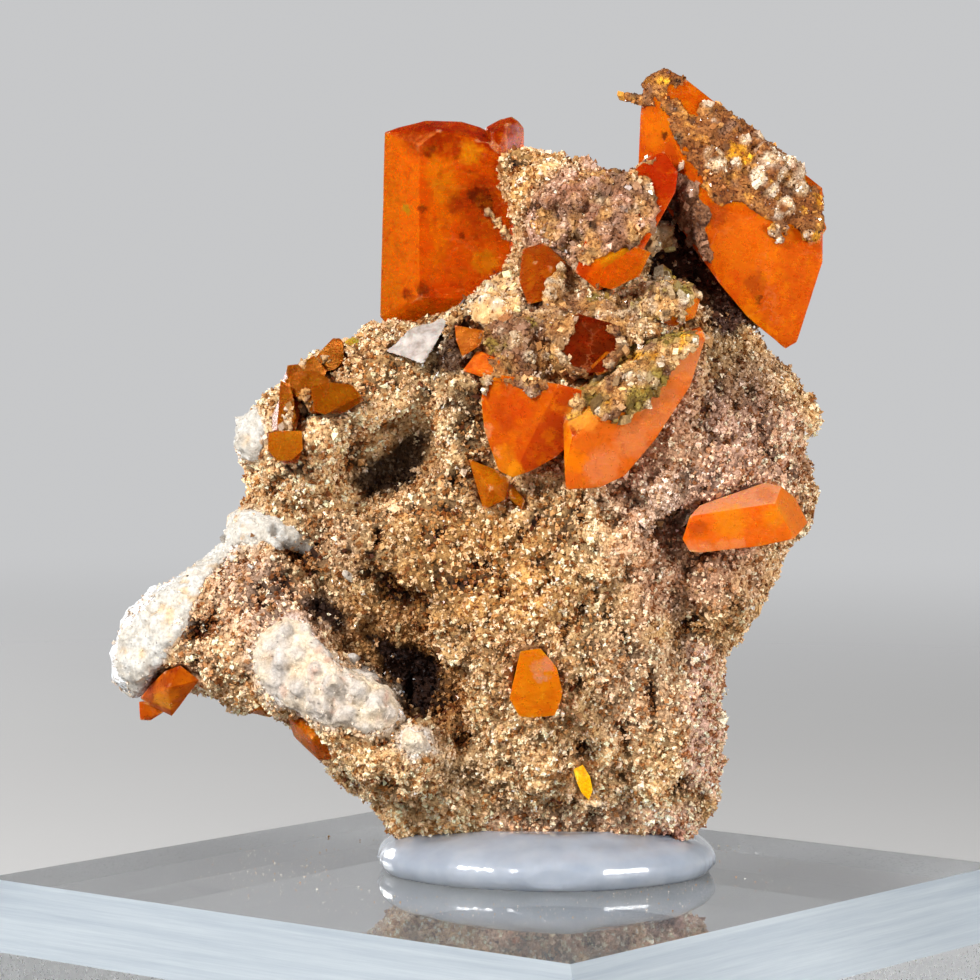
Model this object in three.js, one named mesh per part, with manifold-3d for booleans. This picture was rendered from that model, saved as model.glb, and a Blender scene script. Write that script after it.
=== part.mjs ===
// Wulfenite crystals on a druse-coated rock, glued to a clear square acrylic block.
// Units are millimetres, +Z up. The origin is the centre of the block's underside,
// and the specimen's display face looks towards -Y.

import * as THREE from 'three';
import { ConvexGeometry } from 'three/addons/geometries/ConvexGeometry.js';
import { ImprovedNoise } from 'three/addons/math/ImprovedNoise.js';
import { mergeVertices } from 'three/addons/utils/BufferGeometryUtils.js';
import Module from 'manifold-3d';

const wasm = await Module();
wasm.setup();

// ---- driving dimensions -------------------------------------------------------------

const GAP = 0.3;                 // clearance between a crystal or the glue and the rock

const BLOCK_SIDE = 50.8;         // the acrylic block, a standard two inch square
const BLOCK_HEIGHT = 12.7;
const BEVEL_RUN = 2.3;           // the frosted bevel round its top, sideways
const BEVEL_DROP = 4.0;          // and down
const BLOCK_TURN = 51.7;         // degrees, a corner of the block faces the viewer

const PAD_CENTRE = [2.9, 0.6];   // the glue pad on top of the block
const PAD_RADII = [10.8, 9.0];
const PAD_HEIGHT = 3.4;
const PAD_BULGE = 0.9;           // height at which the pad is widest
const PAD_FOOT = 0.94;           // its foot's share of that width
const PAD_STEPS = 6;             // steps of the dome's curve
const PLUG_CENTRE = [2.9, 0.7];  // the foot of the rock, sunk in the glue
const PLUG_RADII = [9.6, 4.2];
const PLUG_FLOOR = 1.0;          // glue under the foot
const PLUG_FLANK = [[0.7, 0], [0.92, 0.7], [1, 1.8]];      // share of the radii, rise over the floor
const PLUG_TOP = 5.9;            // where the foot ends, inside the rock

const ROUND_SEGMENTS = 40;       // sides of the pad and the foot

const GRID = 1.47;               // cell of the grid on which the rock's surface is found
const EDGE = 7.0;                // width of the rounding from the rock's outline inwards
const FIELD_SCALE = 6.0;         // turns the outline's fraction into about a millimetre
const BARELY_FILLED = 0.15;      // depth given to a grid point that is filled in
const CORNER_REACH = 1.4;        // how far a socket's corners move out for each unit of margin

// The rock's outline seen from the front, as x and z, clockwise from the top of its tongue.
const OUTLINE = [
  [-0.7, 58.2], [0.0, 58.8], [1.1, 58.8], [4.2, 57.3], [5.0, 57.8], [5.9, 57.4], [6.9, 57.8],
  [8.9, 55.8], [10.6, 55.8], [12.4, 54.0], [16.2, 46.3], [19.7, 43.4], [20.3, 42.3], [19.7, 40.8],
  [18.4, 40.9], [18.0, 40.0], [20.0, 37.4], [19.3, 34.5], [16.9, 32.3], [16.9, 31.0], [14.7, 27.8],
  [14.3, 26.2], [14.5, 20.6], [13.4, 16.2], [12.6, 14.2], [-6.6, 14.2], [-7.2, 15.2], [-7.5, 16.5],
  [-10.8, 18.7], [-13.7, 22.3], [-15.3, 23.4], [-20.2, 25.1], [-22.1, 24.5], [-23.4, 23.3],
  [-24.6, 26.1], [-23.0, 29.3], [-22.0, 30.0], [-21.3, 31.1], [-20.2, 31.4], [-17.1, 33.8],
  [-17.6, 34.6], [-17.4, 35.6], [-15.4, 37.0], [-15.9, 38.4], [-16.9, 39.2], [-16.3, 42.2],
  [-14.5, 43.2], [-11.6, 45.9], [-7.6, 48.0], [-6.1, 47.7], [-2.1, 49.5], [0.7, 52.1], [1.0, 54.1],
];

// How far the rock reaches to the front and to the back at a height.
const DEPTHS = [
  { z: 12, front: 3.4, back: 4.6 },
  { z: 16, front: 4.2, back: 5.4 },
  { z: 22, front: 6.8, back: 8.0 },
  { z: 32, front: 8.2, back: 10.0 },
  { z: 42, front: 7.8, back: 10.0 },
  { z: 48, front: 6.2, back: 8.0 },
  { z: 59, front: 3.2, back: 5.0 },
];

// Swellings and hollows of the rock: a run from one point to another with a radius.
const LUMPS = [
  { from: [-22.0, -0.5, 27.4], to: [-10.0, -4.8, 26.0], radius: 3.6 },   // left lobe
  { from: [-10.0, -4.8, 26.0], to: [-6.6, -5.4, 21.6], radius: 3.6 },    // and its lower end
  { from: [-0.5, -5.6, 46.2], to: [9.5, -5.2, 46.6], radius: 3.4 },      // boss under the cluster
  { from: [-12.5, -1.5, 40.6], to: [-8.5, -3.5, 43.5], radius: 3.2 },    // left shoulder
  { from: [17.0, -0.5, 37.8], to: [13.5, -2.5, 36.5], radius: 3.6 },     // right knob
  { from: [4.0, -5.0, 33.0], to: [3.0, -4.6, 26.0], radius: 4.2 },       // belly
  { from: [1.0, -1.0, 56.6], to: [7.0, -2.2, 55.2], radius: 2.6 },       // ridge
];
const HOLLOWS = [
  { from: [-10.6, -6.2, 30.6], to: [-8.6, -5.4, 28.4], radius: 2.1 },    // fissure over the lobe
  { from: [-7.7, -5.2, 27.4], to: [-4.6, -4.8, 25.0], radius: 2.6 },     // and its deep end
  { from: [-8.6, -5.8, 38.2], to: [-5.6, -5.6, 40.5], radius: 2.4 },     // pit under the shoulder
  { from: [-13.2, -5.8, 35.4], to: [-6.9, -7.0, 31.0], radius: 1.7 },    // groove below it
  { from: [10.8, -7.4, 35.1], to: [10.8, -7.2, 27.0], radius: 1.7 },     // upright groove
  { from: [-2.3, -6.8, 20.2], to: [-0.6, -6.8, 19.6], radius: 1.9 },     // recess low down
  { from: [11.2, -2.6, 55.0], to: [11.6, -2.6, 51.2], radius: 3.1 },     // gap by the right slab
  { from: [2.0, 12.6, 40.0], to: [-4.0, 11.4, 33.0], radius: 3.0 },      // worn back
  { from: [9.0, 11.6, 30.0], to: [10.5, 10.2, 23.0], radius: 2.4 },
];
const BLEND = 1.6;               // how softly a swelling or hollow runs into the rest

// Unevenness of the surface: two sizes of bumps, flatter near the outline.
const BUMPS = [
  { size: 6.1, height: 1.5, shift: 0 },
  { size: 2.9, height: 0.9, shift: 7 },
];
const RIM_SHARE = 0.25;          // share of the unevenness that is left at the outline

// The space in which the rock's surface is looked for.
const FIELD_LOW = [-28, -13, 10];
const FIELD_HIGH = [24, 14, 62];

// Crystals by name: each is one or more convex bodies grown together, given by their corners.
// Where two crystals touch, the later one in the list gives way.
const CRYSTALS = {
  crystal_left_plate: [
    [ // plate
      [-7.7, 1.85, 59.75], [-7.95, 1.95, 48], [-7.4, 1.9, 47.4], [-6.5, 1.85, 47.3],
      [0.05, 1.95, 47.1], [1.25, 1.9, 48.35], [1.2, 1.9, 58.65], [-1.6, 1.9, 60.1],
      [-2.8, 1.9, 60.45], [-5.1, 1.9, 60.5], [-6.85, 1.9, 60.05], [-5.45, 0.35, 58.85],
      [-5.4, 0.3, 49.25], [-0.3, 0.25, 49.15], [0.35, 0.3, 49.8], [0.3, 0.3, 57.7],
      [-1.75, 0.3, 59.25], [-4.15, 0.3, 59.85], [-6.25, 3.6, 59.3], [-6.2, 3.6, 48.8],
      [0.05, 3.6, 48.6], [0.45, 3.6, 58.7], [-3.55, 3.6, 60.05],
    ],
    [ // tower
      [-1.25, 1.9, 60.1], [-0.35, 1.9, 60.6], [0.4, 1.9, 60.8], [0.85, 1.9, 60.5],
      [1.2, 1.9, 60.05], [1.2, 1.9, 55.5], [-1.35, 1.9, 55.45], [-0.4, 0.5, 58.85],
      [-0.85, 0.6, 59.65], [0.05, 0.9, 60.25], [0.3, 0.3, 56.1], [-0.95, 0.3, 56.1],
      [-1, 3.3, 59.95], [0.8, 3.3, 59.95], [0.45, 3.6, 56.15], [-0.95, 3.6, 56.15],
    ],
  ],
  crystal_right_slab: [
    [ // slab
      [8.75, -0.4, 63.05], [10.1, -0.2, 63.7], [11.25, 0.05, 63.25], [20.1, 0.45, 56.35],
      [19.85, -1.05, 53.05], [12, -2.95, 55.4], [9.7, -1.15, 61.9], [8.5, -0.05, 61],
      [8.4, 0.25, 57.55], [12.55, -3, 53], [13.35, -2.65, 50.4], [15.3, -2.15, 48.15],
      [17.7, -1.55, 46.2], [18.45, -1.35, 46.6], [18.85, -1.25, 48.65], [20.05, -1, 51.7],
      [9.2, 2.8, 62.4], [8.95, 3, 58.1], [11.9, 3.8, 53.3], [15.45, 3.6, 48.85], [18, 1.8, 46.7],
      [19.9, 3.6, 52.4], [19.7, 4, 55.85], [15.05, 3.8, 60.2],
    ],
    [ // spur
      [18.55, -1.6, 54], [20.35, -0.2, 53.8], [19.7, -0.4, 52.7], [20, -0.6, 54.7],
      [19.55, 1.6, 53.55], [18.85, -2, 53.3],
    ],
  ],
  crystal_ridge_slab: [
    [ // slab
      [9, -3.4, 58.2], [9.9, -3.15, 58.55], [10.75, -3.55, 57.25], [10.6, -4.05, 56],
      [9.3, -5.05, 53.85], [8.35, -5.9, 52], [7.1, -6.65, 50.55], [5.75, -7.15, 49.85],
      [4.3, -6.9, 51], [5.25, -5.65, 53.9], [7.25, -4.25, 56.7], [9.4, -1.2, 58],
      [10.5, -1.4, 57.1], [10.2, -1.8, 55.8], [8.45, -3.4, 52.35], [5.9, -4.4, 50.25],
      [4.8, -4.2, 51.1], [7.5, -1.8, 56.1],
    ],
  ],
  crystal_amber_upper: [
    [ // plate
      [1.1, -4.4, 52.45], [2.5, -4.6, 52.8], [3.8, -5.6, 51.6], [3.4, -6.9, 50.2],
      [2.45, -7.8, 49.25], [1.4, -7.8, 49], [0.85, -6.4, 50.5], [1.4, -1.6, 51.8],
      [3.45, -2.6, 51.4], [2.5, -4.6, 49.75], [1.45, -4.6, 49.55], [1.85, -6, 51.6],
      [2.75, -6.6, 51.25],
    ],
  ],
  crystal_centre_cluster: [
    [ // wedge
      [-1.2, -9.25, 44.9], [0.7, -10.25, 44.6], [3.35, -11.7, 44.3], [4.7, -11.8, 43.95],
      [-1.45, -8.9, 43.2], [-1.25, -8.8, 41.35], [-0.35, -8.95, 38.85], [0.5, -9.4, 38.45],
      [1.6, -9.7, 38.85], [2.65, -11, 42.1], [4.3, -10.8, 40.85], [3.15, -10.25, 39.75],
      [-0.25, -6.2, 43.3], [3.45, -6.2, 43.1], [1.25, -6.8, 39.3],
    ],
    [ // blade
      [3.75, -11.35, 37.85], [3.65, -11.65, 38.95], [4.1, -12, 41.05], [6.7, -11.2, 41.25],
      [9.45, -10.6, 42.45], [11.4, -10.6, 45.25], [12, -10.9, 47.55], [5.85, -10.7, 37.95],
      [7.35, -10.35, 38.65], [9.2, -10.3, 40.85], [11.3, -10.35, 44.15], [12.2, -10.7, 47.1],
      [3.55, -10.8, 42.8], [4.75, -8.9, 44.2], [7.4, -7.9, 46.25], [9.25, -7.6, 47],
      [12, -7.9, 47.75], [5.3, -7, 39.45], [8.4, -6, 43.1], [10.85, -5.8, 46.2], [6.65, -8.2, 38.9],
      [9.9, -7.6, 42.45], [11.9, -7.4, 46.25],
    ],
    [ // flap
      [-2.6, -8.9, 44.95], [-1.65, -8.7, 46.25], [-0.3, -9.4, 45.75], [0.1, -9.9, 44.2],
      [-1.05, -9, 44.55], [-2.1, -6.8, 45.05], [-0.4, -6.8, 45.2], [-0.25, -7.2, 44.35],
    ],
    [ // back block
      [3.15, -6.7, 48.05], [5.9, -6.3, 48.55], [7.6, -7.6, 47.2], [7.15, -9.6, 44.95],
      [4.3, -9.9, 44.6], [2.8, -8.9, 46.15], [3.45, -4.2, 47.4], [6.9, -4.6, 46.8],
      [5.9, -6.4, 44.65], [3.75, -6.4, 44.65],
    ],
  ],
  crystal_nodule: [
    [ // core
      [9.05, -7.6, 50.2], [11, -6.9, 50.55], [12.1, -6.8, 49.5], [11.65, -8.2, 48.25],
      [10.3, -8.6, 47.7], [8.9, -8.4, 48.35], [9.95, -9.3, 50], [11.05, -9.2, 49.35],
      [10.15, -9.9, 48.55], [9.65, -5, 49.4], [11.4, -4.6, 49.3], [10.55, -5.6, 48.2],
    ],
  ],
  crystal_yellow_upper: [
    [ // plate
      [-3.1, -8.2, 47.75], [-1.2, -8.9, 47.45], [-1.5, -9.2, 46.5], [-2.6, -9, 45.8],
      [-3, -8.6, 46.85], [-2.65, -6.6, 47.4], [-1.4, -6.9, 47.15], [-2.35, -7, 46.2],
    ],
  ],
  crystal_left_cluster: [
    [ // upper
      [-11.95, -3.6, 45.85], [-10.9, -3.4, 46.65], [-9.95, -3.2, 46.4], [-9.8, -3.8, 45.55],
      [-10.35, -5.6, 44.25], [-11.55, -5.6, 44], [-11.35, -5, 45.95], [-10.3, -5.2, 45.7],
      [-11.3, -1.6, 45.2], [-10.35, -1.6, 45.2], [-11.05, -2.6, 44.25],
    ],
    [ // cube
      [-14, -4.4, 43.8], [-13.5, -3.8, 45], [-12.6, -4, 45.05], [-12.1, -5.4, 43.85],
      [-12.5, -6, 42.85], [-13.8, -5.4, 42.85], [-13.15, -6, 44.25], [-13.6, -2, 44.35],
      [-12.7, -2, 44.2], [-13.15, -3, 43.1],
    ],
    [ // block
      [-12.65, -5.6, 43.95], [-9.85, -6.6, 44.1], [-8.55, -7.6, 43.1], [-9.8, -7.9, 42.3],
      [-11.95, -7.2, 42.2], [-11, -8, 43.35], [-12.15, -3.4, 43.65], [-9.95, -4, 43.55],
      [-9.55, -5.4, 42.7], [-11.75, -4.8, 42.45],
    ],
    [ // arm
      [-13.9, -5.6, 43.1], [-12.4, -6.2, 43.15], [-12.8, -7.4, 41.2], [-14.35, -6.6, 40.7],
      [-14.4, -5.6, 42.05], [-13.4, -7.6, 42.2], [-13.75, -3.2, 42.6], [-12.9, -3.4, 42.5],
      [-13.7, -4.6, 40.95],
    ],
    [ // foot
      [-14.7, -6.4, 41], [-13.8, -7, 41.25], [-12.7, -7.6, 40.65], [-12.35, -7.6, 40],
      [-12.7, -7.5, 39.15], [-13.5, -7.2, 39.1], [-14.5, -6.6, 39.55], [-13.5, -8.4, 40.35],
      [-14.3, -4.8, 40.55], [-12.9, -5.2, 40.1], [-13.65, -5.2, 39.35],
    ],
  ],
  crystal_small_red: [
    [ // plate
      [-2.2, -7.9, 39.55], [-0.35, -8.4, 38.85], [0.4, -8.6, 38.25], [0.1, -8.8, 37.05],
      [-1.25, -8.6, 36.4], [-1.6, -8.2, 37.85], [-0.85, -9.3, 37.8], [-1.7, -6.2, 39],
      [-0.25, -6.2, 38.25], [-0.95, -6.4, 36.9],
    ],
    [ // chip
      [-0.05, -8.2, 38], [0.5, -8.2, 38], [1.35, -8.2, 37], [1.15, -8.2, 36.35],
      [0.25, -8.2, 37.15], [0.5, -8.9, 37.3], [0.1, -6.4, 37.65], [0.9, -6.4, 36.65],
    ],
  ],
  crystal_right_prism: [
    [ // prism
      [10.95, -8.8, 34.7], [11.4, -9.05, 36.15], [16.65, -8.65, 36.95], [12.05, -8.15, 36.75],
      [13.65, -7.6, 37.3], [16.15, -6.75, 38.1], [17.15, -7.25, 37.9], [18.1, -6.3, 37.1],
      [18.9, -6.05, 35.55], [17.9, -8.1, 34.7], [15.8, -8.25, 34.25], [12.1, -8.55, 33.85],
      [11.45, -8.6, 33.9], [12.25, -5, 35.6], [12.25, -5.2, 34.05], [17.65, -3.6, 36.5],
      [17.65, -3.8, 34.95],
    ],
  ],
  crystal_lower_front: [
    [ // crystal
      [1.1, -9.9, 28], [2.3, -9.6, 28.1], [2.8, -10, 27.65], [3.35, -9.6, 26.8],
      [3.65, -9.4, 25.45], [3.3, -9.1, 23.8], [1, -9.1, 23.7], [0.4, -9.3, 24.95],
      [0.75, -9.95, 26.4], [1.4, -10.8, 27.15], [2.5, -10.75, 27.05], [2.85, -10.55, 25.55],
      [2.6, -10.4, 24.7], [1.45, -10.45, 24.7], [1.45, -7.6, 27.1], [2.95, -7.6, 26.45],
      [2.85, -7, 24.15], [1.2, -7, 24.25],
    ],
  ],
  crystal_yellow_chip: [
    [ // chip
      [4.4, -7.2, 20.2], [5, -7.2, 20.6], [5.45, -7, 20.1], [5.4, -6.4, 18.9], [5.05, -5.8, 18.05],
      [4.6, -6.2, 18.8], [4.9, -7.7, 19.65], [4.7, -4.6, 19.6], [5.35, -4.6, 19.5],
      [5.1, -3.8, 18.35],
    ],
  ],
  crystal_left_tip: [
    [ // upper
      [-22.75, -3.6, 24.1], [-22.05, -4.4, 25], [-21.05, -5.4, 26], [-20.05, -5.9, 26.45],
      [-18.85, -5.7, 25.5], [-19.9, -5, 24.3], [-20.7, -4.2, 23], [-22.25, -3.8, 23.75],
      [-20.75, -6.3, 25.05], [-21.6, -2.2, 25.35], [-19.7, -2.6, 25.25], [-21.35, -1.6, 23.75],
    ],
    [ // lower
      [-22.85, -3.4, 23.85], [-21.6, -3.8, 23.9], [-21.2, -3.8, 23.25], [-22.15, -3.2, 22.6],
      [-22.8, -3.2, 22.65], [-22.3, -1.6, 23.75], [-22.15, -1.6, 22.85],
    ],
  ],
  crystal_under_small: [
    [ // chip
      [-15.9, -4.4, 23.3], [-15, -5, 24.2], [-13.9, -5.4, 23.5], [-14.5, -4.8, 23.05],
      [-14.95, -6, 23.8], [-15, -2.8, 23.95], [-14.65, -2.8, 23.15],
    ],
  ],
  crystal_under_large: [
    [ // plate
      [-13.35, -5.6, 23.2], [-12.55, -6.2, 23.15], [-11.3, -6.9, 22.55], [-10.6, -6.7, 21.6],
      [-10.65, -6, 20.6], [-11.45, -5.6, 20.5], [-13.05, -5.2, 21.95], [-11.8, -7.2, 22],
      [-12.7, -3.4, 22.75], [-11.05, -3.6, 21.4], [-11.45, -3, 20.45],
    ],
  ],
  calcite_plate: [
    [ // plate
      [-3, -4.6, 48.55], [-6, -5.4, 47.3], [-4.95, -7.4, 45.15], [-4, -6.6, 46.75],
      [-3.55, -3, 48.05], [-5.65, -3.4, 47], [-5, -5.6, 45.65],
    ],
    [ // wing
      [-7.45, -5.6, 46], [-6.1, -5.2, 47.4], [-5.45, -6.2, 46.45], [-6.45, -6.2, 46],
      [-7, -4, 46.05], [-5.9, -3.4, 46.95],
    ],
  ],
};

// ---- small helpers ------------------------------------------------------------------

const clamp = THREE.MathUtils.clamp;
const lerp = THREE.MathUtils.lerp;

/** Solid of a closed geometry. */
function toSolid(geometry) {
  const bare = geometry.index ? geometry.toNonIndexed() : geometry.clone();
  bare.deleteAttribute('normal');
  bare.deleteAttribute('uv');
  const merged = mergeVertices(bare, 1e-4);
  return new wasm.Manifold(new wasm.Mesh({
    numProp: 3,
    vertProperties: new Float32Array(merged.attributes.position.array),
    triVerts: new Uint32Array(merged.index.array),
  }));
}

/** Geometry of a solid. */
function toGeometry(solid) {
  const mesh = solid.getMesh();
  const geometry = new THREE.BufferGeometry();
  geometry.setAttribute('position', new THREE.BufferAttribute(mesh.vertProperties, 3));
  geometry.setIndex(new THREE.BufferAttribute(mesh.triVerts, 1));
  return geometry;
}

function union(solids) {
  return solids.reduce((whole, solid) => whole.add(solid));
}

/** Convex solid round points given as [x, y, z]. */
function hull(points) {
  return toSolid(new ConvexGeometry(points.map((p) => new THREE.Vector3(...p))));
}

/** The same points with a margin on every side. */
function swollen(points, margin) {
  const steps = [[1, 0, 0], [-1, 0, 0], [0, 1, 0], [0, -1, 0], [0, 0, 1], [0, 0, -1]];
  const reach = margin * CORNER_REACH;
  return points.flatMap((p) => steps.map((s) => p.map((v, axis) => v + s[axis] * reach)));
}

// ---- acrylic block ------------------------------------------------------------------

function squareCorners(side, z) {
  const half = side / 2;
  const turn = THREE.MathUtils.degToRad(BLOCK_TURN);
  return [[1, 1], [-1, 1], [-1, -1], [1, -1]].map(([sx, sy]) => {
    const corner = new THREE.Vector2(sx * half, sy * half).rotateAround(new THREE.Vector2(), turn);
    return [corner.x, corner.y, z];
  });
}

function acrylicBlock() {
  return hull([
    ...squareCorners(BLOCK_SIDE, 0),
    ...squareCorners(BLOCK_SIDE, BLOCK_HEIGHT - BEVEL_DROP),
    ...squareCorners(BLOCK_SIDE - 2 * BEVEL_RUN, BLOCK_HEIGHT),
  ]);
}

// ---- glue pad -----------------------------------------------------------------------

/** Ellipse-based turned solid from a profile of [radius fraction, z] on the block's top. */
function turned(profile, centre, radii) {
  const points = profile.map(([r, z]) => new THREE.Vector2(r, z));
  const lathe = new THREE.LatheGeometry(points, ROUND_SEGMENTS);
  lathe.rotateX(Math.PI / 2);
  lathe.scale(radii[0], radii[1], 1);
  lathe.translate(centre[0], centre[1], BLOCK_HEIGHT);
  return toSolid(lathe);
}

/** Flattened drop: it bulges over its foot and rises to a low dome. */
function padDome(margin) {
  const profile = [[0, -margin], [PAD_FOOT, -margin]];
  const rise = PAD_HEIGHT - PAD_BULGE;
  for (let i = 0; i < PAD_STEPS; i += 1) {
    const angle = (i / PAD_STEPS) * Math.PI / 2;
    profile.push([Math.cos(angle), PAD_BULGE + margin + rise * Math.sin(angle)]);
  }
  profile.push([0, PAD_HEIGHT + margin]);
  return turned(profile, PAD_CENTRE, PAD_RADII.map((r) => r + margin));
}

/** The rock's foot, tapered downwards. */
function footPlug(margin) {
  const flank = PLUG_FLANK.map(([share, rise]) => [share, PLUG_FLOOR - margin + rise]);
  const profile = [[0, PLUG_FLOOR - margin], ...flank, [1, PLUG_TOP], [0, PLUG_TOP]];
  return turned(profile, PLUG_CENTRE, PLUG_RADII.map((r) => r + margin));
}

// ---- rock ---------------------------------------------------------------------------

/** Distance from a point to the rock's outline, positive inside it. */
function outlineDistance(x, z) {
  let nearest = Infinity;
  let inside = false;
  for (let i = 0, j = OUTLINE.length - 1; i < OUTLINE.length; j = i, i += 1) {
    const [ax, az] = OUTLINE[j];
    const [bx, bz] = OUTLINE[i];
    const along = ((x - ax) * (bx - ax) + (z - az) * (bz - az)) / ((bx - ax) ** 2 + (bz - az) ** 2);
    const t = clamp(along, 0, 1);
    nearest = Math.min(nearest, Math.hypot(x - lerp(ax, bx, t), z - lerp(az, bz, t)));
    if ((az > z) !== (bz > z) && x < ax + ((z - az) / (bz - az)) * (bx - ax)) inside = !inside;
  }
  return inside ? nearest : -nearest;
}

/** How deep the rock is on one side at a height. */
function depthAt(z, side) {
  const next = DEPTHS.findIndex((row) => row.z > z);
  if (next <= 0) return (next === 0 ? DEPTHS[0] : DEPTHS[DEPTHS.length - 1])[side];
  const low = DEPTHS[next - 1];
  const high = DEPTHS[next];
  return lerp(low[side], high[side], THREE.MathUtils.smoothstep(z, low.z, high.z));
}

/** Height inside a rounded run, positive inside. */
function runDepth({ from, to, radius }, point) {
  const a = new THREE.Vector3(...from);
  const b = new THREE.Vector3(...to);
  const nearest = new THREE.Line3(a, b).closestPointToPoint(point, true, new THREE.Vector3());
  return radius - nearest.distanceTo(point);
}

/** Smooth maximum. */
function blendMax(a, b) {
  const h = clamp(0.5 + (0.5 * (a - b)) / BLEND, 0, 1);
  return lerp(b, a, h) + BLEND * h * (1 - h);
}

const noise = new ImprovedNoise();

/** About the depth under the rock's surface, in millimetres: positive inside. */
function rockField(point) {
  const { x, y, z } = point;
  const outline = outlineDistance(x, z);
  const edge = 1 - Math.min(1, outline / EDGE);
  const depth = Math.abs(y) / depthAt(z, y < 0 ? 'front' : 'back');
  let value = FIELD_SCALE * (1 - Math.hypot(edge, depth));
  for (const lump of LUMPS) value = blendMax(value, runDepth(lump, point));
  const inward = 1 - Math.min(1, edge);
  for (const { size, height, shift } of BUMPS) {
    value += height * noise.noise(x / size + shift, y / size, z / size) * lerp(RIM_SHARE, 1, inward);
  }
  for (const hollow of HOLLOWS) value = -blendMax(-value, runDepth(hollow, point));
  return -blendMax(-value, -outline - BLEND / 4);
}

/** Closed surface of a field's zero level: one vertex in each crossed cell of the grid. */
function fieldSurface(field, low, high, step) {
  const size = low.map((v, axis) => Math.ceil((high[axis] - v) / step) + 1);
  const stride = [1, size[0], size[0] * size[1]];
  const place = (i, j, k) => new THREE.Vector3(low[0] + i * step, low[1] + j * step, low[2] + k * step);
  const values = new Float32Array(size[0] * size[1] * size[2]);
  const indexOf = (i, j, k) => i + j * stride[1] + k * stride[2];
  const eachCell = (margin, visit) => {
    for (let k = margin; k < size[2] - 1; k += 1) {
      for (let j = margin; j < size[1] - 1; j += 1) {
        for (let i = margin; i < size[0] - 1; i += 1) visit(i, j, k);
      }
    }
  };
  for (let k = 0; k < size[2]; k += 1) {
    for (let j = 0; j < size[1]; j += 1) {
      for (let i = 0; i < size[0]; i += 1) values[indexOf(i, j, k)] = field(place(i, j, k));
    }
  }

  // A cell face whose filled corners lie across a diagonal would pinch the surface: fill it.
  let pinched = true;
  while (pinched) {
    pinched = false;
    eachCell(0, (i, j, k) => {
      const here = indexOf(i, j, k);
      for (const [u, v] of [[0, 1], [1, 2], [2, 0]]) {
        const face = [here, here + stride[u], here + stride[u] + stride[v], here + stride[v]];
        const filled = face.map((at) => values[at] > 0);
        if (filled[0] !== filled[2] || filled[1] !== filled[3] || filled[0] === filled[1]) continue;
        values[face[filled[0] ? 1 : 0]] = BARELY_FILLED;
        pinched = true;
      }
    });
  }

  const corners = [];
  for (let c = 0; c < 8; c += 1) corners.push([c & 1, (c >> 1) & 1, (c >> 2) & 1]);
  const cellEdges = [];
  for (let a = 0; a < 8; a += 1) {
    for (const bit of [1, 2, 4]) if (!(a & bit)) cellEdges.push([a, a | bit]);
  }

  const positions = [];
  const vertexOf = new Map();
  eachCell(0, (i, j, k) => {
    const sum = new THREE.Vector3();
    let crossings = 0;
    const sample = corners.map(([di, dj, dk]) => values[indexOf(i + di, j + dj, k + dk)]);
    for (const [a, b] of cellEdges) {
      if ((sample[a] > 0) === (sample[b] > 0)) continue;
      const t = sample[a] / (sample[a] - sample[b]);
      const start = place(i + corners[a][0], j + corners[a][1], k + corners[a][2]);
      const end = place(i + corners[b][0], j + corners[b][1], k + corners[b][2]);
      sum.add(start.lerp(end, t));
      crossings += 1;
    }
    if (crossings === 0) return;
    vertexOf.set(indexOf(i, j, k), positions.length / 3);
    positions.push(...sum.divideScalar(crossings).toArray());
  });

  const triangles = [];
  eachCell(1, (i, j, k) => {
    const here = indexOf(i, j, k);
    for (let axis = 0; axis < 3; axis += 1) {
      const filled = values[here] > 0;
      if (filled === (values[here + stride[axis]] > 0)) continue;
      const u = stride[(axis + 1) % 3];
      const v = stride[(axis + 2) % 3];
      const ring = [here, here - u, here - u - v, here - v].map((cell) => vertexOf.get(cell));
      if (!filled) ring.reverse();
      triangles.push(ring[0], ring[1], ring[2], ring[0], ring[2], ring[3]);
    }
  });

  const geometry = new THREE.BufferGeometry();
  geometry.setAttribute('position', new THREE.Float32BufferAttribute(positions, 3));
  geometry.setIndex(triangles);
  return geometry;
}

function rawRock() {
  return toSolid(fieldSurface(rockField, FIELD_LOW, FIELD_HIGH, GRID));
}

// ---- crystals -----------------------------------------------------------------------

/** The largest body of a solid, without crumbs left by a cut. */
function largest(solid) {
  return solid.decompose().reduce((best, body) => (body.volume() > best.volume() ? body : best));
}

/** Every crystal with its socket: the same shape with the clearance all round. */
function growCrystals() {
  const grown = [];
  for (const [name, bodies] of Object.entries(CRYSTALS)) {
    const whole = union(bodies.map(hull));
    const solid = grown.reduce((rest, earlier) => rest.subtract(earlier.socket), whole);
    const socket = union(bodies.map((corners) => hull(swollen(corners, GAP))));
    grown.push({ name, solid: largest(solid), socket });
  }
  return grown;
}

// ---- assembly -----------------------------------------------------------------------

const LOOKS = {
  acrylic: { color: 0xe6f0f5, roughness: 0.05, metalness: 0 },
  glue: { color: 0xe9edf0, roughness: 0.25, metalness: 0 },
  rock: { color: 0xb58f66, roughness: 0.95, metalness: 0 },
  wulfenite: { color: 0xe8620c, roughness: 0.2, metalness: 0 },
  calcite: { color: 0xcfcbc6, roughness: 0.5, metalness: 0 },
};

const model = new THREE.Group();

function addNode(name, solid, look) {
  const mesh = new THREE.Mesh(toGeometry(solid), new THREE.MeshStandardMaterial(LOOKS[look]));
  mesh.name = name;
  model.add(mesh);
}

const crystals = growCrystals();
const foot = footPlug(-GAP);
const standing = rawRock().subtract(padDome(GAP)).add(foot);
const rock = crystals.reduce((rest, crystal) => rest.subtract(crystal.socket), standing);

addNode('acrylic_base', acrylicBlock(), 'acrylic');
addNode('glue_pad', padDome(0).subtract(footPlug(0)), 'glue');
addNode('matrix', largest(rock), 'rock');
for (const { name, solid } of crystals) {
  addNode(name, solid, name.startsWith('crystal') ? 'wulfenite' : 'calcite');
}

export default model;
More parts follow.
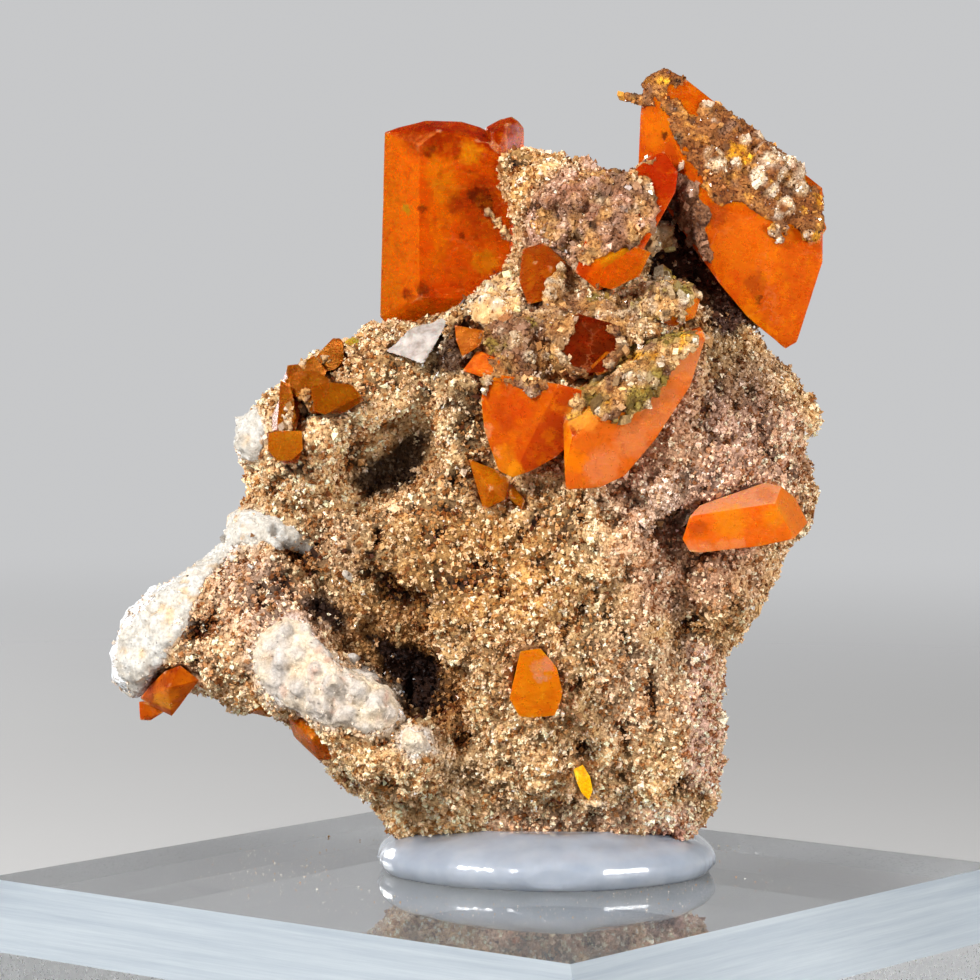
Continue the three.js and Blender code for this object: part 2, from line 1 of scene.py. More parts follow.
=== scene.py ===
"""Wulfenite on matrix: orange crystals on a druse-coated rock, glued to a clear acrylic block.

Lengths in this script are millimetres in the CAD's frame, and MM turns them into Blender's metres.
"""
import math
from itertools import product

import bmesh
import bpy
import numpy as np
from mathutils import Matrix, Vector
from mathutils.bvhtree import BVHTree


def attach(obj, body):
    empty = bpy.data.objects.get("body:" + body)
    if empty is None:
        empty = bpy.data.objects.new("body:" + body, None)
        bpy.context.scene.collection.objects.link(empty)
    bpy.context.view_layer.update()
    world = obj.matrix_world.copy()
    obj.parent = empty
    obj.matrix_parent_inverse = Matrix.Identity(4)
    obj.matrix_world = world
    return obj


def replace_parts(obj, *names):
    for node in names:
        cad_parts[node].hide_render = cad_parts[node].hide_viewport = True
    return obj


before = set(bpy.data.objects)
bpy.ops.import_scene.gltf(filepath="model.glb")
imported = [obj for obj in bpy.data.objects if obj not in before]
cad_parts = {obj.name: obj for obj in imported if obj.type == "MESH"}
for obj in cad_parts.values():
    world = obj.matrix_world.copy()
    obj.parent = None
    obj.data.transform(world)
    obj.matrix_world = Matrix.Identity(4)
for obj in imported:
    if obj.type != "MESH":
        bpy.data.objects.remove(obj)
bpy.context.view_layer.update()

MM = 0.001
ROOT = "root"

# ---- the viewing camera --------------------------------------------------------------------------

PICTURE = 980                       # pixels on each side of the picture
FOCAL = 4000.0                      # focal length in pixels
SENSOR = 36.0
CAMERA_AT = np.array([-0.843, -253.458, 53.416])
PITCH = math.radians(3.685)         # looking down
ROLL = math.radians(0.336)

forward = np.array([0, math.cos(PITCH), -math.sin(PITCH)])
upward = np.array([0, math.sin(PITCH), math.cos(PITCH)])
right = np.array([math.cos(ROLL), 0, 0]) + upward * math.sin(ROLL)
upward = upward * math.cos(ROLL) - np.array([math.sin(ROLL), 0, 0])


def pixel_ray(u, v):
    """Direction from the camera through a pixel."""
    half = PICTURE / 2
    ray = forward + (u - half) / FOCAL * right - (v - half) / FOCAL * upward
    return ray / np.linalg.norm(ray)


def shown_at(tree, u, v):
    """Where a pixel's ray meets a surface and the normal there, or twice None."""
    return tree.ray_cast(Vector(CAMERA_AT), Vector(pixel_ray(u, v)))[:2]


def to_pixels(points):
    """Where points show in the picture, as columns u and v."""
    offset = np.atleast_2d(points) - CAMERA_AT
    depth = offset @ forward
    half = PICTURE / 2
    return half + FOCAL * (offset @ right) / depth, half - FOCAL * (offset @ upward) / depth


# ---- noise over points ---------------------------------------------------------------------------

def lattice_value(cells, seed):
    """A repeatable number from 0 to 1 for whole-number cells."""
    c = cells.astype(np.int64)
    h = c[..., 0] * 73856093 ^ c[..., 1] * 19349663 ^ c[..., 2] * 83492791 ^ (seed * 2654435761)
    h = (h ^ (h >> 13)) * 1274126177 & 0xFFFFFFFF
    h = (h ^ (h >> 16)) * 2246822519 & 0xFFFFFFFF
    return ((h ^ (h >> 15)) & 0xFFFFFF) / float(0xFFFFFF)


def smooth_noise(points, size, seed=0):
    """Soft noise from -1 to 1 whose bumps are size across."""
    q = points / size
    base = np.floor(q)
    t = q - base
    t = t * t * (3 - 2 * t)
    total = np.zeros(len(points))
    for step in product((0, 1), repeat=3):
        weight = np.prod(np.where(np.array(step) == 1, t, 1 - t), axis=1)
        total += weight * lattice_value(base + step, seed)
    return total * 2 - 1


def fractal(points, size, seed=0, octaves=3):
    """Noise from about -1 to 1 with ever finer bumps, of which the largest are size across."""
    total = np.zeros(len(points))
    for k in range(octaves):
        total += smooth_noise(points, size / 2 ** k, seed + k) / 2 ** k
    return total / (2 - 0.5 ** (octaves - 1))


def pebbles(points, size, seed=0):
    """Distance to the nearest of scattered points, one in each cell of a size, in cells."""
    q = points / size
    base = np.floor(q)
    nearest = np.full(len(points), np.inf)
    for step in product((-1, 0, 1), repeat=3):
        cell = base + step
        spot = cell + np.stack([lattice_value(cell, seed + k) for k in (1, 2, 3)], axis=1)
        nearest = np.minimum(nearest, np.linalg.norm(spot - q, axis=1))
    return nearest


# ---- mesh helpers --------------------------------------------------------------------------------

def linked(name, data):
    """A new object in the scene."""
    made = bpy.data.objects.new(name, data)
    bpy.context.scene.collection.objects.link(made)
    return made


def new_piece(name, vertices, faces, material, slot=None, tint=None, smooth=False):
    """A mesh object from points in millimetres that rides on the root and wears a material."""
    mesh = bpy.data.meshes.new(name)
    faces = np.asarray(faces, dtype=np.int32)
    corners = faces.shape[1]
    mesh.vertices.add(len(vertices))
    mesh.vertices.foreach_set("co", (vertices * MM).astype(np.float32).ravel())
    mesh.loops.add(faces.size)
    mesh.loops.foreach_set("vertex_index", faces.ravel())
    mesh.polygons.add(len(faces))
    mesh.polygons.foreach_set("loop_start", np.arange(0, faces.size, corners, dtype=np.int32))
    mesh.polygons.foreach_set("use_smooth", np.full(len(faces), smooth))
    mesh.update(calc_edges=True)
    if tint is not None:
        layer = mesh.color_attributes.new("tint", "FLOAT_COLOR", "POINT")
        rgba = np.ones((len(vertices), 4), dtype=np.float32)
        rgba[:, :3] = tint
        layer.data.foreach_set("color", rgba.ravel())
    mesh.materials.append(material)
    piece = linked(name, mesh)
    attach(piece, ROOT)
    return piece


def mesh_arrays(mesh):
    """Points in millimetres and triangles of a mesh."""
    mesh.calc_loop_triangles()
    points = np.empty(len(mesh.vertices) * 3, dtype=np.float32)
    mesh.vertices.foreach_get("co", points)
    triangles = np.empty(len(mesh.loop_triangles) * 3, dtype=np.int32)
    mesh.loop_triangles.foreach_get("vertices", triangles)
    return points.reshape(-1, 3).astype(np.float64) / MM, triangles.reshape(-1, 3)


def vertex_normals(points, triangles):
    """The direction a surface faces at each of its points."""
    a, b, c = (points[triangles[:, k]] for k in range(3))
    cross = np.cross(b - a, c - a)
    normals = np.zeros_like(points)
    for k in range(3):
        np.add.at(normals, triangles[:, k], cross)
    return normals / np.maximum(np.linalg.norm(normals, axis=1), 1e-12)[:, None]


def bare_mesh(points, triangles):
    """A mesh with points in millimetres and nothing else."""
    mesh = bpy.data.meshes.new("work")
    mesh.from_pydata((points * MM).tolist(), [], triangles.tolist())
    return mesh


def remeshed(mesh, voxel, rounds):
    """Points and triangles of a closed mesh, made again as an even fine mesh and softened a little."""
    copy = linked("work", mesh)
    weld = copy.modifiers.new("weld", "WELD")
    weld.merge_threshold = 1e-6
    remesh = copy.modifiers.new("remesh", "REMESH")
    remesh.mode = "VOXEL"
    remesh.voxel_size = voxel * MM
    soften = copy.modifiers.new("soften", "SMOOTH")
    soften.factor = 0.5
    soften.iterations = rounds
    evaluated = copy.evaluated_get(bpy.context.evaluated_depsgraph_get())
    arrays = mesh_arrays(evaluated.to_mesh())
    evaluated.to_mesh_clear()
    bpy.data.objects.remove(copy)
    return arrays


def tree_of(points, triangles):
    """A surface that rays can be cast at."""
    return BVHTree.FromPolygons(points.tolist(), triangles.tolist())


def joined(parts):
    """One set of points and triangles out of several."""
    starts = np.cumsum([0] + [len(p) for p, _ in parts])
    points = np.concatenate([p for p, _ in parts])
    return points, np.concatenate([t + start for (_, t), start in zip(parts, starts)])


def node_arrays(*names):
    """Points in millimetres and triangles of CAD nodes together."""
    return joined([mesh_arrays(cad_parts[name].data) for name in names])


def scatter(points, triangles, count, rng, weight=None):
    """Random spots on a surface with their normals, evenly over its area."""
    a, b, c = (points[triangles[:, k]] for k in range(3))
    cross = np.cross(b - a, c - a)
    area = np.linalg.norm(cross, axis=1)
    share = area if weight is None else area * weight
    chosen = rng.choice(len(triangles), size=count, p=share / share.sum())
    r1, r2 = np.sqrt(rng.random(count)), rng.random(count)
    spots = (1 - r1)[:, None] * a[chosen] + (r1 * (1 - r2))[:, None] * b[chosen]
    spots += (r1 * r2)[:, None] * c[chosen]
    return spots, cross[chosen] / area[chosen][:, None], chosen


def random_turns(count, rng):
    """Random rotation matrices."""
    q = rng.normal(size=(count, 4))
    q /= np.linalg.norm(q, axis=1)[:, None]
    w, x, y, z = q.T
    return np.stack([
        1 - 2 * (y * y + z * z), 2 * (x * y - z * w), 2 * (x * z + y * w),
        2 * (x * y + z * w), 1 - 2 * (x * x + z * z), 2 * (y * z - x * w),
        2 * (x * z - y * w), 2 * (y * z + x * w), 1 - 2 * (x * x + y * y)], axis=1).reshape(-1, 3, 3)


# Grain shapes: a spike, a double pyramid, a leaning brick and a rough ball.
SPIKE = (
    np.array([[0.9, 0.1, -0.5], [-0.5, 0.8, -0.4], [-0.4, -0.8, -0.5], [0.1, 0, 1.0]]) * 0.75,
    np.array([[0, 2, 1], [0, 1, 3], [1, 2, 3], [2, 0, 3]]),
)
OCTAHEDRON = (
    np.array([[1, 0, 0], [-1, 0, 0], [0, 1, 0], [0, -1, 0], [0, 0, 1.5], [0, 0, -1.5]]) * 0.6,
    np.array([[0, 2, 4], [2, 1, 4], [1, 3, 4], [3, 0, 4], [2, 0, 5], [1, 2, 5], [3, 1, 5], [0, 3, 5]]),
)


def leaning_brick():
    """A box whose sides lean over."""
    corners = np.array(list(product((-1, 1), repeat=3)), float)
    lean = np.array([[1, 0.28, 0.28], [0, 1, 0.28], [0, 0, 1]])
    quads = [(0, 1, 3, 2), (4, 6, 7, 5), (0, 4, 5, 1), (2, 3, 7, 6), (0, 2, 6, 4), (1, 5, 7, 3)]
    triangles = [t for q in quads for t in ((q[0], q[1], q[2]), (q[0], q[2], q[3]))]
    return corners @ lean * 0.45, np.array(triangles)


def rough_ball():
    """A ball with soft dents."""
    made = bmesh.new()
    bmesh.ops.create_icosphere(made, subdivisions=2, radius=1.0)
    made.verts.ensure_lookup_table()
    points = np.array([v.co[:] for v in made.verts])
    triangles = np.array([[v.index for v in f.verts] for f in made.faces])
    made.free()
    return points * (1 + 0.28 * smooth_noise(points, 0.8, 77))[:, None], triangles


BRICK = leaning_brick()
LUMP = rough_ball()


class Grains:
    """Collects many small closed shapes into one mesh."""

    def __init__(self, rng):
        self.rng = rng
        self.points, self.triangles, self.tints, self.start = [], [], [], 0

    def add(self, shape, spots, sizes, tints, stretch=0.25):
        """A copy of the shape at each spot, turned and stretched at random."""
        template, faces = shape
        count = len(spots)
        if count == 0:
            return
        scale = sizes[:, None] * (1 + stretch * self.rng.uniform(-1, 1, (count, 3)))
        local = template[None, :, :] * scale[:, None, :]
        turned = np.einsum("nij,nkj->nki", random_turns(count, self.rng), local)
        placed = turned + np.asarray(spots)[:, None, :]
        offsets = self.start + np.arange(count) * len(template)
        self.points.append(placed.reshape(-1, 3))
        self.triangles.append((faces[None] + offsets[:, None, None]).reshape(-1, 3))
        self.tints.append(np.repeat(tints, len(template), axis=0))
        self.start += count * len(template)

    def add_some(self, shape, chosen, spots, sizes, tints):
        """Copies of the shape at the chosen ones of the spots."""
        self.add(shape, spots[chosen], sizes[chosen], tints[chosen])

    def arrays(self):
        return np.concatenate(self.points), np.concatenate(self.triangles)

    def piece(self, name, material, slot=None):
        """All that was added, as one mesh object."""
        return new_piece(name, *self.arrays(), material, slot, np.concatenate(self.tints))


# ---- materials -----------------------------------------------------------------------------------

COLOUR_MIX_INPUTS = (0, 6, 7)        # the Mix node's factor and two colours, by index
COLOUR_MIX_RESULT = 2
FACING_COSINES = (0.90, 0.97)        # from turned away to facing
BEND_SIZE, BEND = 0.6, 0.8           # size of the noise that makes edges ragged, and how far it pushes


class Surface:
    """A node material with a few short ways to add nodes."""

    def __init__(self, name):
        self.material = bpy.data.materials.new(name)
        self.material.use_nodes = True
        self.tree = self.material.node_tree
        self.shader = self.tree.nodes["Principled BSDF"]
        self.output = self.tree.nodes["Material Output"]
        self.ragged = None

    def feed(self, socket, value):
        """Gives a socket a link or a value; a colour needs no alpha."""
        if isinstance(value, bpy.types.NodeSocket):
            self.tree.links.new(value, socket)
        elif socket.type == "RGBA" and len(value) == 3:
            socket.default_value = (*value, 1)
        else:
            socket.default_value = value

    def node(self, kind, inputs=(), **settings):
        """A new node, with its settings and with links or values for its inputs by name or index."""
        made = self.tree.nodes.new("ShaderNode" + kind)
        for key, value in settings.items():
            setattr(made, key, value)
        for key, value in dict(inputs).items():
            self.feed(made.inputs[key], value)
        return made

    def set(self, **values):
        """Gives the shader's own sockets links or values; underscores stand for spaces."""
        for key, value in values.items():
            self.feed(self.shader.inputs[key.replace("_", " ")], value)

    def coordinates(self):
        return self.node("TexCoord").outputs["Object"]

    def mapped(self, scale=(1, 1, 1), turn=(0, 0, 0)):
        """The coordinates stretched and turned."""
        inputs = {"Scale": scale, "Rotation": turn, "Vector": self.coordinates()}
        return self.node("Mapping", inputs).outputs["Vector"]

    def bent(self):
        """The coordinates pushed about by noise, so that what is drawn on them is ragged."""
        if self.ragged is None:
            inputs = {"Scale": 1 / (BEND_SIZE * MM), "Detail": 5, "Roughness": 0.7,
                      "Vector": self.coordinates()}
            push = self.node("TexNoise", inputs).outputs["Color"]
            inputs = {0: push, 1: [2 * BEND * MM] * 3, 2: [-BEND * MM] * 3}
            push = self.node("VectorMath", inputs, operation="MULTIPLY_ADD").outputs["Vector"]
            total = self.node("VectorMath", {0: self.coordinates(), 1: push}, operation="ADD")
            self.ragged = total.outputs["Vector"]
        return self.ragged

    def noise(self, size, detail=3, rough=0.5, vector=None, distortion=0.0):
        """Noise whose bumps are about size millimetres across."""
        inputs = {"Scale": 1 / (size * MM), "Detail": detail, "Roughness": rough, "Distortion": distortion,
                  "Vector": vector or self.coordinates()}
        return self.node("TexNoise", inputs).outputs["Fac"]

    def cell_edges(self, size, vector):
        """Distance to the edges of cells about size millimetres across."""
        inputs = {"Scale": 1 / (size * MM), "Vector": vector}
        return self.node("TexVoronoi", inputs, feature="DISTANCE_TO_EDGE").outputs["Distance"]

    def ramp(self, value, stops):
        """Colours or greys along a value; stops are (position, colour or grey)."""
        ramp = self.node("ValToRGB", {"Fac": value})
        elements = ramp.color_ramp.elements
        while len(elements) < len(stops):
            elements.new(0.5)
        for element, (position, colour) in zip(elements, stops):
            element.position = position
            grey = isinstance(colour, (int, float))
            element.color = (colour, colour, colour, 1) if grey else (*colour, 1)
        return ramp.outputs["Color"]

    def mask(self, value, low, high, top=1.0):
        """0 where a value is below low, top where it is above high."""
        return self.ramp(value, [(low, 0.0), (high, top)])

    def mix(self, factor, a, b, blend="MIX"):
        inputs = dict(zip(COLOUR_MIX_INPUTS, (factor, a, b)))
        return self.node("Mix", inputs, data_type="RGBA", blend_type=blend).outputs[COLOUR_MIX_RESULT]

    def math(self, operation, a, b=0.0):
        return self.node("Math", {0: a, 1: b}, operation=operation).outputs[0]

    def painted(self, colour, mask, strength, tone):
        """A colour with a tone over it where a mask says, as strongly as asked."""
        return self.mix(self.math("MULTIPLY", mask, strength), colour, tone)

    def fade(self, value, start, end, backwards=False):
        """A soft step from 0 to 1 between two values, or from 1 to 0."""
        inputs = {"Value": value, "From Min": start, "From Max": end, "To Min": float(backwards),
                  "To Max": 1.0 - backwards}
        return self.node("MapRange", inputs, interpolation_type="SMOOTHSTEP").outputs["Result"]

    def spot(self, at, radius, soft=0.35):
        """1 inside a ball round a point, fading to 0 outside it."""
        inputs = {0: self.bent(), 1: [c * MM for c in at]}
        distance = self.node("VectorMath", inputs, operation="DISTANCE").outputs["Value"]
        return self.fade(distance, radius * (1 - soft) * MM, radius * (1 + soft) * MM, backwards=True)

    def facing(self, normal):
        """1 on faces that look along a direction, 0 on faces turned away from it."""
        inputs = {0: self.node("NewGeometry").outputs["True Normal"], 1: Vector(normal).normalized()}
        dot = self.node("VectorMath", inputs, operation="DOT_PRODUCT").outputs["Value"]
        return self.fade(dot, *FACING_COSINES)

    def bump(self, height, strength, distance):
        """Gives the shader a relief that is distance millimetres high."""
        inputs = {"Height": height, "Strength": strength, "Distance": distance * MM}
        self.set(Normal=self.node("Bump", inputs).outputs["Normal"])

    def attribute(self, name):
        return self.node("Attribute", attribute_name=name).outputs["Color"]

    def speckled(self, noise, stops):
        """Colours the shader by the mesh's own tint, broken up by noise."""
        self.set(Base_Color=self.mix(1.0, self.attribute("tint"), self.ramp(noise, stops), "MULTIPLY"))


# partly painted shade: the darkest stop blackens the pits between crumbs, the others vary the crumbs' tone
PITTED = [(0.36, (0.16, 0.075, 0.03)), (0.46, (0.80, 0.74, 0.68)), (0.56, (1.15, 1.15, 1.15)),
          (0.68, (1.75, 1.80, 1.85))]
EVEN = [(0.3, 0.55), (0.7, 1.25)]


def rock_surface(name, size, stops):
    """A dull surface whose tint is broken up by noise of a size, from dark pits to pale crumbs."""
    s = Surface(name)
    s.speckled(s.noise(size, 5, 0.72), stops)
    s.set(Roughness=0.85, Specular_IOR_Level=0.2)
    s.bump(s.noise(0.16, 5, 0.75), 0.9, 0.12)
    return s.material


def grain_surface(name, roughness, coat):
    """Small shiny grains, each with a tint of its own."""
    s = Surface(name)
    fine = s.noise(0.13, 3, 0.7)
    s.speckled(fine, [(0.3, (0.55, 0.43, 0.31)), (0.7, (1.18, 1.18, 1.18))])
    s.set(Roughness=roughness, Coat_Weight=coat, Coat_Roughness=0.07, Specular_IOR_Level=0.18)
    s.bump(fine, 0.5, 0.05)
    return s.material


ORANGE = (0.70, 0.095, 0.0005)
DEEP = (0.48, 0.040, 0.0005)
GOLD = (0.84, 0.22, 0.001)
SALMON = (0.80, 0.25, 0.08)
CHIPPED = (0.88, 0.46, 0.22)
BLOOD = (0.24, 0.008, 0.0005)
BLACK_RED = (0.06, 0.003, 0.001)
GLOSS = (1.0, 0.32, 0.04)           # a crystal's own colour in its reflections
CLEAR_ORANGE = (0.95, 0.60, 0.03)   # what light keeps on its way through a crystal


def wulfenite(name, base=ORANGE, deep=DEEP, light=GOLD, clear=0.5, rough=0.25, spots=(), faces=(),
              frost=0.0, absorption=1.6, growth=(1, 1, 1), cracks=0.35, mottle=0.25):
    """Orange crystal: see-through with growth zones, cracks, fine steps, freckles and worn edges, with
    painted light and shade on the faces asked for, and painted glow.
    """
    s = Surface(name)
    zones = s.noise(2.6, 5, 0.65, s.mapped(scale=growth), distortion=0.6)
    colour = s.ramp(zones, [(0.30, deep), (0.42, base), (0.58, base), (0.72, light)])
    crack = s.ramp(s.cell_edges(3.4, s.bent()), [(0.0, 1.0), (0.022, 0.0)])
    crack = s.math("MULTIPLY", crack, s.mask(s.noise(2.2, 2), 0.46, 0.58))
    colour = s.painted(colour, crack, cracks, SALMON)
    # painted light and shade: faces that look a given way get a lighter or darker tone
    for normal, tone, strength in faces:
        colour = s.painted(colour, s.facing(normal), strength, tone)
    for at, radius, tone, strength in spots:
        colour = s.painted(colour, s.spot(at, radius), strength, tone)
    patches = s.mask(s.noise(1.2, 7, 0.75, distortion=1.5), 0.50, 0.66)
    colour = s.painted(colour, patches, mottle, BLOOD)
    # painted glow: lighter patches that stand in for light shining through the crystal
    glow = s.mask(s.noise(0.9, 6, 0.7, s.bent()), 0.50, 0.68, 0.55)
    colour = s.mix(glow, colour, light)
    freckles = s.mask(s.noise(0.5, 6, 0.8), 0.66, 0.74, 0.6)
    colour = s.mix(freckles, colour, deep)
    veil = s.mask(s.noise(0.35, 5, 0.75), 0.42 - 0.3 * frost, 0.85 - 0.25 * frost)
    colour = s.painted(colour, veil, 0.03 + 0.97 * frost, SALMON)
    chips = s.mask(s.noise(0.7, 5, 0.8), 0.47, 0.60, 0.75)
    worn = s.math("MULTIPLY", s.mask(s.attribute("edge"), 0.70, 0.92), chips)
    grit = s.ramp(s.noise(0.4, 4, 0.65), [(0.3, rough * 0.6), (0.7, min(1.0, rough * 1.9))])
    s.set(Base_Color=s.mix(worn, colour, CHIPPED), Roughness=grit, Transmission_Weight=clear, IOR=1.45,
          Specular_IOR_Level=0.15, Specular_Tint=GLOSS, Subsurface_Weight=0.5,
          Subsurface_Radius=(1.0, 0.22, 0.03), Subsurface_Scale=1.2 * MM)
    steps = s.noise(0.9, 2, 0.4, s.mapped(scale=(1, 1, 2.6)))
    relief = s.math("ADD", s.math("SNAP", steps, 0.09), s.math("MULTIPLY", s.noise(0.2, 4, 0.7), 0.35))
    scratches = s.noise(0.12, 3, 0.6, s.mapped(scale=(0.15, 1, 1), turn=(0.4, 0.9, 0.3)))
    s.bump(s.math("ADD", relief, s.math("MULTIPLY", scratches, 0.4)), 0.5, 0.11)
    body = s.node("VolumeAbsorption", {"Color": CLEAR_ORANGE, "Density": absorption / MM})
    s.feed(s.output.inputs["Volume"], body.outputs["Volume"])
    return s.material


def calcite_surface():
    """Cloudy grey to greyish white stone."""
    s = Surface("calcite_grey")
    greys = [(0.3, (0.22, 0.18, 0.15)), (0.5, (0.42, 0.36, 0.32)), (0.7, (0.55, 0.49, 0.45))]
    s.set(Base_Color=s.ramp(s.noise(0.8, 4, 0.6), greys), Roughness=0.65, Specular_IOR_Level=0.25,
          Subsurface_Weight=0.2, Subsurface_Scale=0.4 * MM)
    s.bump(s.noise(0.18, 5, 0.75), 0.8, 0.10)
    return s.material


CLEAR_PALE = (0.97, 0.99, 1.0)


def acrylic_surface():
    """Clear block: polished top, frosted bevel, finely sawn sides."""
    s = Surface("acrylic_clear")
    normal = s.node("NewGeometry").outputs["True Normal"]
    up = s.node("SeparateXYZ", {"Vector": normal}).outputs["Z"]
    bevel = s.math("MULTIPLY", s.math("GREATER_THAN", up, 0.2), s.math("LESS_THAN", up, 0.9))
    side = s.math("MULTIPLY", s.math("GREATER_THAN", up, -0.2), s.math("LESS_THAN", up, 0.2))
    streaks = s.noise(0.5, 5, 0.75, s.mapped(scale=(0.02, 0.02, 1)))
    grit = s.noise(0.3, 5, 0.8)
    milled = s.ramp(streaks, [(0.35, (0.46, 0.54, 0.62)), (0.65, (0.66, 0.74, 0.80))])
    see_through = s.math("SUBTRACT", 1.0, s.math("MULTIPLY", bevel, 0.35))
    frosted = s.math("MULTIPLY", bevel, 0.42)
    sawn = s.math("MULTIPLY", side, s.math("MULTIPLY", grit, 0.6))
    rough = s.math("ADD", s.math("ADD", frosted, sawn), 0.015)
    s.set(Base_Color=s.mix(bevel, CLEAR_PALE, milled), IOR=1.49, Transmission_Weight=see_through,
          Roughness=rough)
    marks = s.math("ADD", s.math("MULTIPLY", grit, side), s.math("MULTIPLY", streaks, bevel))
    s.bump(marks, 0.25, 0.15)
    return s.material


def glue_surface():
    """Smooth milky glue with faint clouds in it."""
    s = Surface("glue_milky")
    clouds = s.ramp(s.noise(2.2, 3, 0.5), [(0.3, (0.34, 0.38, 0.45)), (0.7, (0.44, 0.48, 0.54))])
    s.set(Base_Color=clouds, Roughness=0.22, IOR=1.45, Transmission_Weight=0.35, Subsurface_Weight=0.8,
          Subsurface_Radius=(1.0, 0.9, 0.8), Subsurface_Scale=2.0 * MM, Coat_Weight=1.0, Coat_Roughness=0.12)
    s.bump(s.noise(2.6, 1, 0.3), 0.08, 0.12)
    return s.material


# ---- colour zones of the rock --------------------------------------------------------------------

TAN = (0.50, 0.28, 0.105)
SAND = (0.74, 0.49, 0.235)
# painted shade: near-black crevice tone for the fissure, hollows, nooks and the low rock between lumps
CREVICE_SHADE = (0.022, 0.007, 0.002)
WHITE = (0.62, 0.60, 0.56)
OCHRE = (0.62, 0.30, 0.07)
PINK = (0.56, 0.30, 0.20)
GREY = (0.36, 0.29, 0.23)
BEIGE = (0.88, 0.57, 0.28)
PEACH = (0.88, 0.56, 0.31)
ROSE = (0.80, 0.52, 0.33)
HEMATITE = (0.25, 0.055, 0.03)
CREAM = (0.66, 0.50, 0.33)
LILAC = (0.42, 0.22, 0.15)
BLUSH = (0.86, 0.54, 0.42)
DUSK = (0.24, 0.13, 0.08)
BUFF = (0.42, 0.19, 0.055)
RUSSET = (0.27, 0.105, 0.03)
PEARL = (0.72, 0.61, 0.47)
IVORY = (0.95, 0.85, 0.70)
CHALK = (0.92, 0.83, 0.70)
MILK = (0.56, 0.51, 0.465)
PALE_ROSE = (0.62, 0.42, 0.33)
OLIVE = (0.25, 0.18, 0.035)
YELLOW = (0.72, 0.36, 0.02)
UMBER = (0.10, 0.055, 0.025)
# near-black red: as patches on the rock and in the gap's crust it is painted shade, in the rope's crust a
# dark tone
WINE = (0.035, 0.006, 0.004)
BROWNING = (0.90, 1.40, 2.1)        # how fast red, green and blue fall away in shaded places

WHITE_PATCH = [(250, 655), (262, 632), (284, 618), (304, 622), (322, 645), (345, 668), (368, 668), (398, 690),
               (403, 715), (385, 732), (330, 726), (300, 716), (262, 684)]
